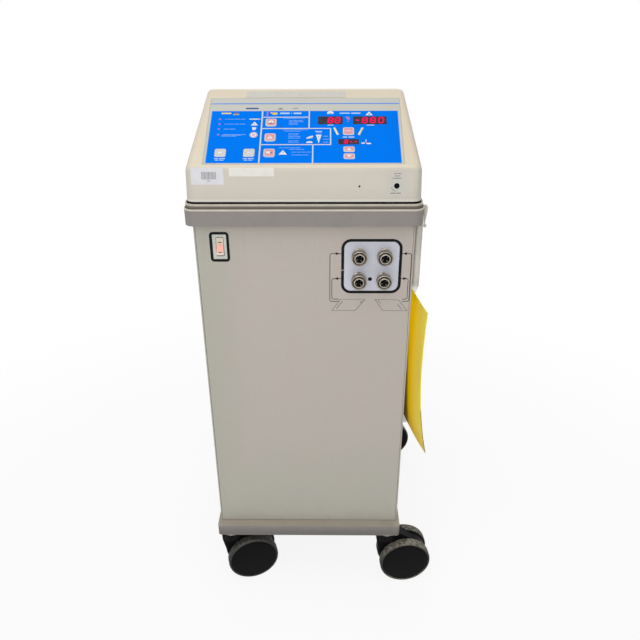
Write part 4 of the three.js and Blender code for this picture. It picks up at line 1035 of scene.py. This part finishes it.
# Head: blank tapes, the label plate round the probe jack and a small plug hole.

slope_marks = Prints(SLOPE)
slope_marks.add(WORN_TAPE, (0.2, 0.42), rounded(158, 14.3, 0.6, (-15, 152.4)))
slope_marks.make("slope_tape")

LABEL_INK = (0, 0.15)
JACK_INK = (0.05, 0.17)
JACK_RADIUS = 8.2
head_marks = Prints(HEAD_FACE)
head_marks.add(LABEL, (-0.2, 0.12), rounded(48.7, 24.8, 0.8, (-142, 48.3)))
head_marks.add(TAPE, (-0.2, 0.14), rounded(66.6, 12.6, 0.6, (-76.4, 54.2)))
for x in np.arange(-150, -129, 1.7):
    width = 0.6 + 0.5 * math.sin(x * 5) ** 2
    head_marks.add(GREY, LABEL_INK, rounded(width, 11.0, 0.05, (x, 49.0), 1))
head_marks.words(GREY, LABEL_INK, 1.0, (-143, 41.4, (6,)))
head_marks.add(INLAY, (-0.2, 0.14), rounded(30, 37.2, 2.0, (138.7, 37.3)))
head_marks.words(
    GREY, JACK_INK, 1.1, (133.6, 51.6, (4, 6)), (134.6, 48.3, (7.6,)), (130.0, 45.0, (2, 11.5))
)
head_marks.words(GREY, JACK_INK, 1.3, (128.6, 23.2, (8, 7)))
for ink_used, start, end, count, thick in ((GREY, 195, 255, 8, 0.7), (PALE, 285, 330, 7, 0.6)):
    arc = polar(np.radians(np.linspace(start, end, count))) * JACK_RADIUS + (138.1, 34)
    head_marks.add(ink_used, JACK_INK, line(arc, thick))
# Dark discs of painted shade in the small plug hole and in the probe jack's opening.
head_marks.add(SHADE_BLACK, (-0.6, 0.05), oval(3.0, 3.0, (83, 33.2)))
centre, _, _, top = HEAD_FACE.span("probe_jack")
head_marks.add(SHADE_BLACK, (top - 1.6, top + 0.1), oval(8.4, 8.4, centre, 28))
head_marks.make("head")


# Front panel: painted frames, flow arrows and lines.

PAINT = (-0.15, 0.16)
THIN = 1.15
ARROW_LEVEL = 700.0
RETURN_LEVEL = 657.7
front = Prints(FRONT)


def black_frame(centre, size, radius, thickness, steps):
    """Painted frame between two rounded rectangles."""
    outer = rounded(*size, radius, centre, steps)
    front.ring(
        ENAMEL, PAINT, outer, rounded(*(size - 2 * thickness), radius - thickness, centre, steps)
    )


centre, size, _, _ = FRONT.span("switch_body")
black_frame(centre + (-0.6, -0.4), size + 2.1, 5.6, 4.2, 4)
centre, size, _, _ = FRONT.span("coupling_plate")
black_frame(centre, size - 2.2, 15.5, 4.5, 7)
front.add(FINISHES["beige_paint"], (0.1, 0.2), line(((56.4, 671.2), (62.6, 673.0)), 1.1))
# Dark disc of painted shade in a small hole of the panel.
front.add(SHADE_BLACK, (-0.6, -0.24), oval(6.5, 6.5, (103.4, 656.7), 24))
for x, z, turn in (
    (51.6, ARROW_LEVEL, -90), (156.7, ARROW_LEVEL, 90), (49.8, RETURN_LEVEL, 90),
    (159.2, RETURN_LEVEL, -90),
):
    front.add(DARK, PAINT, triangle(5.0, 6.0, (x, z), turn))
for outside, inside, frame_edge, pad_edge in ((39.6, 42.8, 59.7, 54.0), (167.2, 164.2, 150.4, 156.2)):
    outer = [(frame_edge, ARROW_LEVEL), (outside, ARROW_LEVEL), (outside, 617.6), (pad_edge, 617.4)]
    inner = [(frame_edge, RETURN_LEVEL), (inside, RETURN_LEVEL), (inside, 621.7), (pad_edge, 621.5)]
    front.add(STROKE, PAINT, line(bent(outer, 4.0), THIN), line(bent(inner, 3.6), THIN))
for pad in (
    ((56.9, 621.6), (97.3, 621.5), (81.5, 600.9), (42.4, 601.0)),
    ((111.9, 621.5), (150.7, 620.5), (166.3, 600.7), (125.6, 600.8)),
):
    corners = anticlockwise(pad)
    front.ring(STROKE, PAINT, corners, corners + (corners.mean(0) - corners) * 0.04)
for ends in (
    ((60.6, 618.2), (50.0, 604.4)), ((92.6, 619.0), (88.6, 614.0)),
    ((149.4, 612.6), (156.4, 603.6)), ((117.6, 619.6), (122.0, 614.0)),
):
    front.add(STROKE, PAINT, line(ends, 0.8))
front.make("front_print")


# Dark ring in the gap between the head and the collar's lip: a painted shadow of the gap. Its section
# is given as the distance out from the head's sides and the height above the lip.

GAP_SHADOW_CORNER = 14
GAP_SHADOW_SECTION = ((-0.4, -3.0), (0.35, -3.0), (0.35, 2.2), (-0.4, 2.6), (-3.2, 2.6), (-3.2, -3.0))
head_low, head_high = map(cart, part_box("head_housing"))
head_size = np.array([2 * head_high[0], head_high[1] - head_low[1]])
head_middle = (0.0, (head_low[1] + head_high[1]) / 2)
gap_shadow = [
    level_loop(
        rounded(*(head_size + 2 * grow), GAP_SHADOW_CORNER + grow, head_middle, 5), collar_high[2] + rise
    )
    for grow, rise in GAP_SHADOW_SECTION
]
piece("head_seal", [stacked(gap_shadow, wrap=True)], SHADE_BLACK, "cart")


# Folder, and the strap that holds the pocket.

folder_low, folder_high = node_places("document_folder").min(0), node_places("document_folder").max(0)
CARD = 1.2
CARD_ABOVE = 1.8
SPINE_GAP = 2.8
INNER_LEAF_FRONT = 60.0
STAND_OUT = 27.0
CORNER_FLARE = 16.0
MIDDLE_SAG = 4.0


def folder_section(up):
    """Plan of the folder at a share up from its foot.

    The outer leaf's x grows from the rear spine by stand-out times (0.86 t + 0.14 t^5), where t is the
    share of the way to the front edge. The stand-out is larger at the foot and least in the middle.
    """
    out = STAND_OUT + CORNER_FLARE * (1 - up) ** 3 + MIDDLE_SAG * (2 * up - 1) ** 2 - MIDDLE_SAG
    share = np.linspace(0, 1, 19)
    y = folder_high[1] - CARD - share * (folder_high[1] - CARD - folder_low[1])
    x = folder_low[0] + SPINE_GAP + out * (0.86 * share + 0.14 * share ** 5)
    inside = np.stack([x, y], -1)
    outside = inside[::-1] + (CARD, 0)
    inner_leaf = [(folder_low[0] + CARD, INNER_LEAF_FRONT), (folder_low[0] + CARD, y[0])]
    back = [
        (folder_low[0] + SPINE_GAP + CARD, folder_high[1]), (folder_low[0], folder_high[1]),
        (folder_low[0], INNER_LEAF_FRONT),
    ]
    return np.vstack([inner_leaf, inside, outside, back])


folder_height = folder_high[2] + CARD_ABOVE - folder_low[2]
folder_rows = [
    level_loop(anticlockwise(folder_section(up)), folder_low[2] + up * folder_height)
    for up in np.linspace(0, 1, 17)
]
piece(
    "folder_card", [stacked(folder_rows)], FINISHES["yellow_card"], body_of_node("document_folder"),
    ("document_folder",), 40,
)

STRAP = (
    (179.9, 778.2), (183.0, 778.4), (185.6, 777.4), (186.9, 774.6), (186.8, 769.0), (185.9, 762.0),
    (184.8, 754.0), (184.2, 746.5), (182.9, 746.5), (182.5, 754.0), (182.1, 762.0), (181.8, 770.0),
    (181.4, 776.7), (179.9, 777.0),
)
strap_loops = [FRONT.put(anticlockwise(STRAP), out) for out in (-4.6, 0.6)]
turn = np.linspace(0, math.pi, 9)
knob = np.stack([np.maximum(2.5 * np.sin(turn), 0.02), -2.9 * np.cos(turn)], -1)
piece(
    "strap", [stacked(strap_loops), turned(knob, np.array([184.6, 2.0, 744.9]), (0, 0, 1), 20)],
    FINISHES["clear_vinyl"], body_of_node("pocket_hook"), ("pocket_hook",), 50,
)


# Quick couplings: turned bodies with a cross-shaped poppet, and sliding knurled sleeves.

AXLE = 0.02
SLEEVE_WALL = 2.7
KNURLS = (48, 0.5, 5, 7)
BORE = 6.3
VANE_REACH = BORE - 0.2
for name in ("upper_left", "upper_right", "lower_left", "lower_right"):
    node = "coupling_sleeve_" + name
    middle, size, back, tip = FRONT.span(node)
    centre = FRONT.put(middle, 0)
    radius = size[0] / 2 + KNURLS[1]
    inner = radius - SLEEVE_WALL
    sleeve = [
        (inner, back), (radius - 0.9, back), (radius - 0.3, back + 0.3), (radius, back + 0.9),
        (radius, back + 1.8), (radius - 0.6, back + 2.2), (radius - 0.6, tip - 4.2),
        (radius, tip - 3.8), (radius, tip - 0.9), (radius - 0.3, tip - 0.3),
        (radius - 0.8, tip), (radius - 1.1, tip), (inner + 0.3, tip - 1.4), (inner, tip - 1.8),
    ]
    skin = turned(sleeve, centre, FRONT.out, 96, True, KNURLS)
    piece("sleeve_" + name, [skin], SLEEVE, node, (node,))
    node = "coupling_body_" + name
    middle, size, tail, face = FRONT.span(node)
    flange = size[0] / 2
    body = [
        (AXLE, tail), (6.6, tail), (7.0, tail + 0.4), (7.0, -0.3), (flange - 0.6, -0.3),
        (flange, 0.3), (flange, 2.4), (flange - 0.6, 3.0), (7.6, 3.0), (7.6, face - 1.2),
        (7.9, face - 0.9), (7.9, face - 0.35), (7.6, face), (BORE + 0.5, face),
        (BORE, face - 0.8), (BORE, face - 7.0), (BORE - 0.6, face - 7.4), (AXLE, face - 7.4),
    ]
    piece(node + "_turned", [turned(body, centre, FRONT.out, 64)], FINISHES["nickel"], "cart", (node,))
    # The poppet is near black: painted shade deep in the bore.
    poppet = [
        (AXLE, face - 7.3), (BORE - 0.05, face - 7.3), (BORE - 0.05, face - 5.8), (3.6, face - 5.6),
        (3.1, face - 3.4), (2.6, face - 3.0), (AXLE, face - 2.9),
    ]
    piece(node + "_poppet", [turned(poppet, centre, FRONT.out, 48)], SHADE_BLACK, "cart")
    vanes = []
    for angle in (35, 125):
        reach = polar(math.radians(angle)) * VANE_REACH
        stroke = anticlockwise(line([middle - reach, middle + reach], 1.0))
        vanes.append(stacked([FRONT.put(stroke, face - 6.6), FRONT.put(stroke, face - 4.2)]))
    piece(node + "_vanes", vanes, FINISHES["grey_casting"], "cart")


# Casters: rubber treads with rounded shoulders, and low domed discs over the wheels' outer sides.

WHEEL_GAP = 0.05
TREAD_DEPTH = 4.5
INNER_ROUND = 1.8
OUTER_ROUND = 3.8
WHEEL_BORE = 6.6
CROWN_RISE = 1.25


def wheel_place(node):
    """Middle, axle direction and width of a wheel node: the axle is its thinnest direction."""
    places = node_places(node)
    centre = (places.min(0) + places.max(0)) / 2
    axis = np.linalg.svd(places - places.mean(0), full_matrices=False)[2][2]
    along = (places - centre) @ axis
    return centre, axis, along.max() - along.min()


for corner in CORNERS:
    pair = ["caster_wheel_" + corner + "_" + side for side in "ab"]
    for node, other in (pair, pair[::-1]):
        centre, axis, width = wheel_place(node)
        if np.dot(centre - wheel_place(other)[0], axis) < 0:
            axis = -axis
        radius = centre[2] - WHEEL_GAP
        half = width / 2
        rim = radius - TREAD_DEPTH
        turn = np.linspace(0, math.pi / 2, 4)
        inner_side = INNER_ROUND * (1 - np.cos(turn)) - half
        outer_side = OUTER_ROUND * np.sin(turn) + half - 4.2
        tread_profile = np.vstack([
            [(rim, -half + 1.2)],
            np.stack([radius - INNER_ROUND * (1 - np.sin(turn)), inner_side], -1),
            [(radius, 0.0)],
            np.stack([radius - OUTER_ROUND * (1 - np.cos(turn)), outer_side], -1),
            [(rim + 0.4, half - 0.8), (rim, half - 1.6)],
        ])
        body = node.removeprefix("caster_")
        skin = turned(tread_profile, centre, axis, 72, True)
        piece(node + "_tread", [skin], FINISHES["tread_rubber"], body, (node,))
        reach = np.linspace(rim - 0.9, AXLE, 9)
        crown = half - 1.3 + CROWN_RISE * (1 - (reach / rim) ** 2)
        hub = np.vstack([
            [(WHEEL_BORE, -half + 0.9), (rim - 2.5, -half + 0.9), (rim - 0.02, -half + 1.4)],
            [(rim - 0.02, half - 2.2), (rim - 0.3, half - 1.6)],
            np.stack([reach, crown], -1),
            [(AXLE, half - 2.4), (WHEEL_BORE, half - 3.0)],
        ])
        skin = turned(hub, centre, axis, 72, True)
        piece(node + "_disc", [skin], FINISHES["caster_black"], body, (), 40)


# Floor, lamps and world.

FLOOR_HALF = 6.0


def stage_floor():
    """Pale floor, mixed with plain white for camera and gloss, wholly white away from the cart."""
    finish = Finish("pale_floor", (0.86, 0.86, 0.86))
    finish.coat(finish.noise(180), (0.88, 0.88, 0.88))
    finish.set(0.8)
    x = finish.axis("X")
    y = finish.axis("Y")
    away = ((x * x + y * y) ** 0.5).rise(500, 1500)
    painted_floor = Value(finish, finish.shader.outputs[0])
    glow = finish.node("ShaderNodeEmission", {"Strength": 1.0})
    finish.show(finish.looked_at() * (0.88 + away * 0.12), painted_floor, glow)
    mesh = bpy.data.meshes.new("floor")
    square = np.array([[-1, -1, 0], [1, -1, 0], [1, 1, 0], [-1, 1, 0]]) * FLOOR_HALF
    mesh.from_pydata(square.tolist(), [], [(0, 1, 2, 3)])
    mesh.materials.append(finish.material)
    floor = added("floor", mesh)


def lamp(name, place, aim, size, watts):
    """Square soft lamp at place, its face towards aim, in metres."""
    data = bpy.data.lights.new(name, "AREA")
    data.shape = "SQUARE"
    data.size = size
    data.energy = watts
    made = added(name, data)
    made.location = place
    made.rotation_euler = (Vector(aim) - Vector(place)).to_track_quat("-Z", "Y").to_euler()


def set_world():
    """Even light from all round, and plain white where the camera or a reflection looks at it."""
    world = bpy.data.worlds.new("studio")
    bpy.context.scene.world = world
    tree = Tree(world, "ShaderNodeOutputWorld")
    light, back = [
        tree.node("ShaderNodeBackground", {"Color": (1.0, 1.0, 1.0), "Strength": strength})
        for strength in (0.40, 1.0)
    ]
    tree.show(tree.looked_at(), light, back)


stage_floor()
lamp("overhead", (-0.3, -0.9, 2.6), (0, 0, 0.6), 2.2, 22)
lamp("front_fill", (-0.45, -2.55, 1.3), (0, 0, 0.5), 2.0, 20)
lamp("rear_fill", (0.2, 2.4, 1.6), (0, 0, 0.5), 2.0, 18)
set_world()
bpy.context.scene.view_settings.view_transform = "Standard"
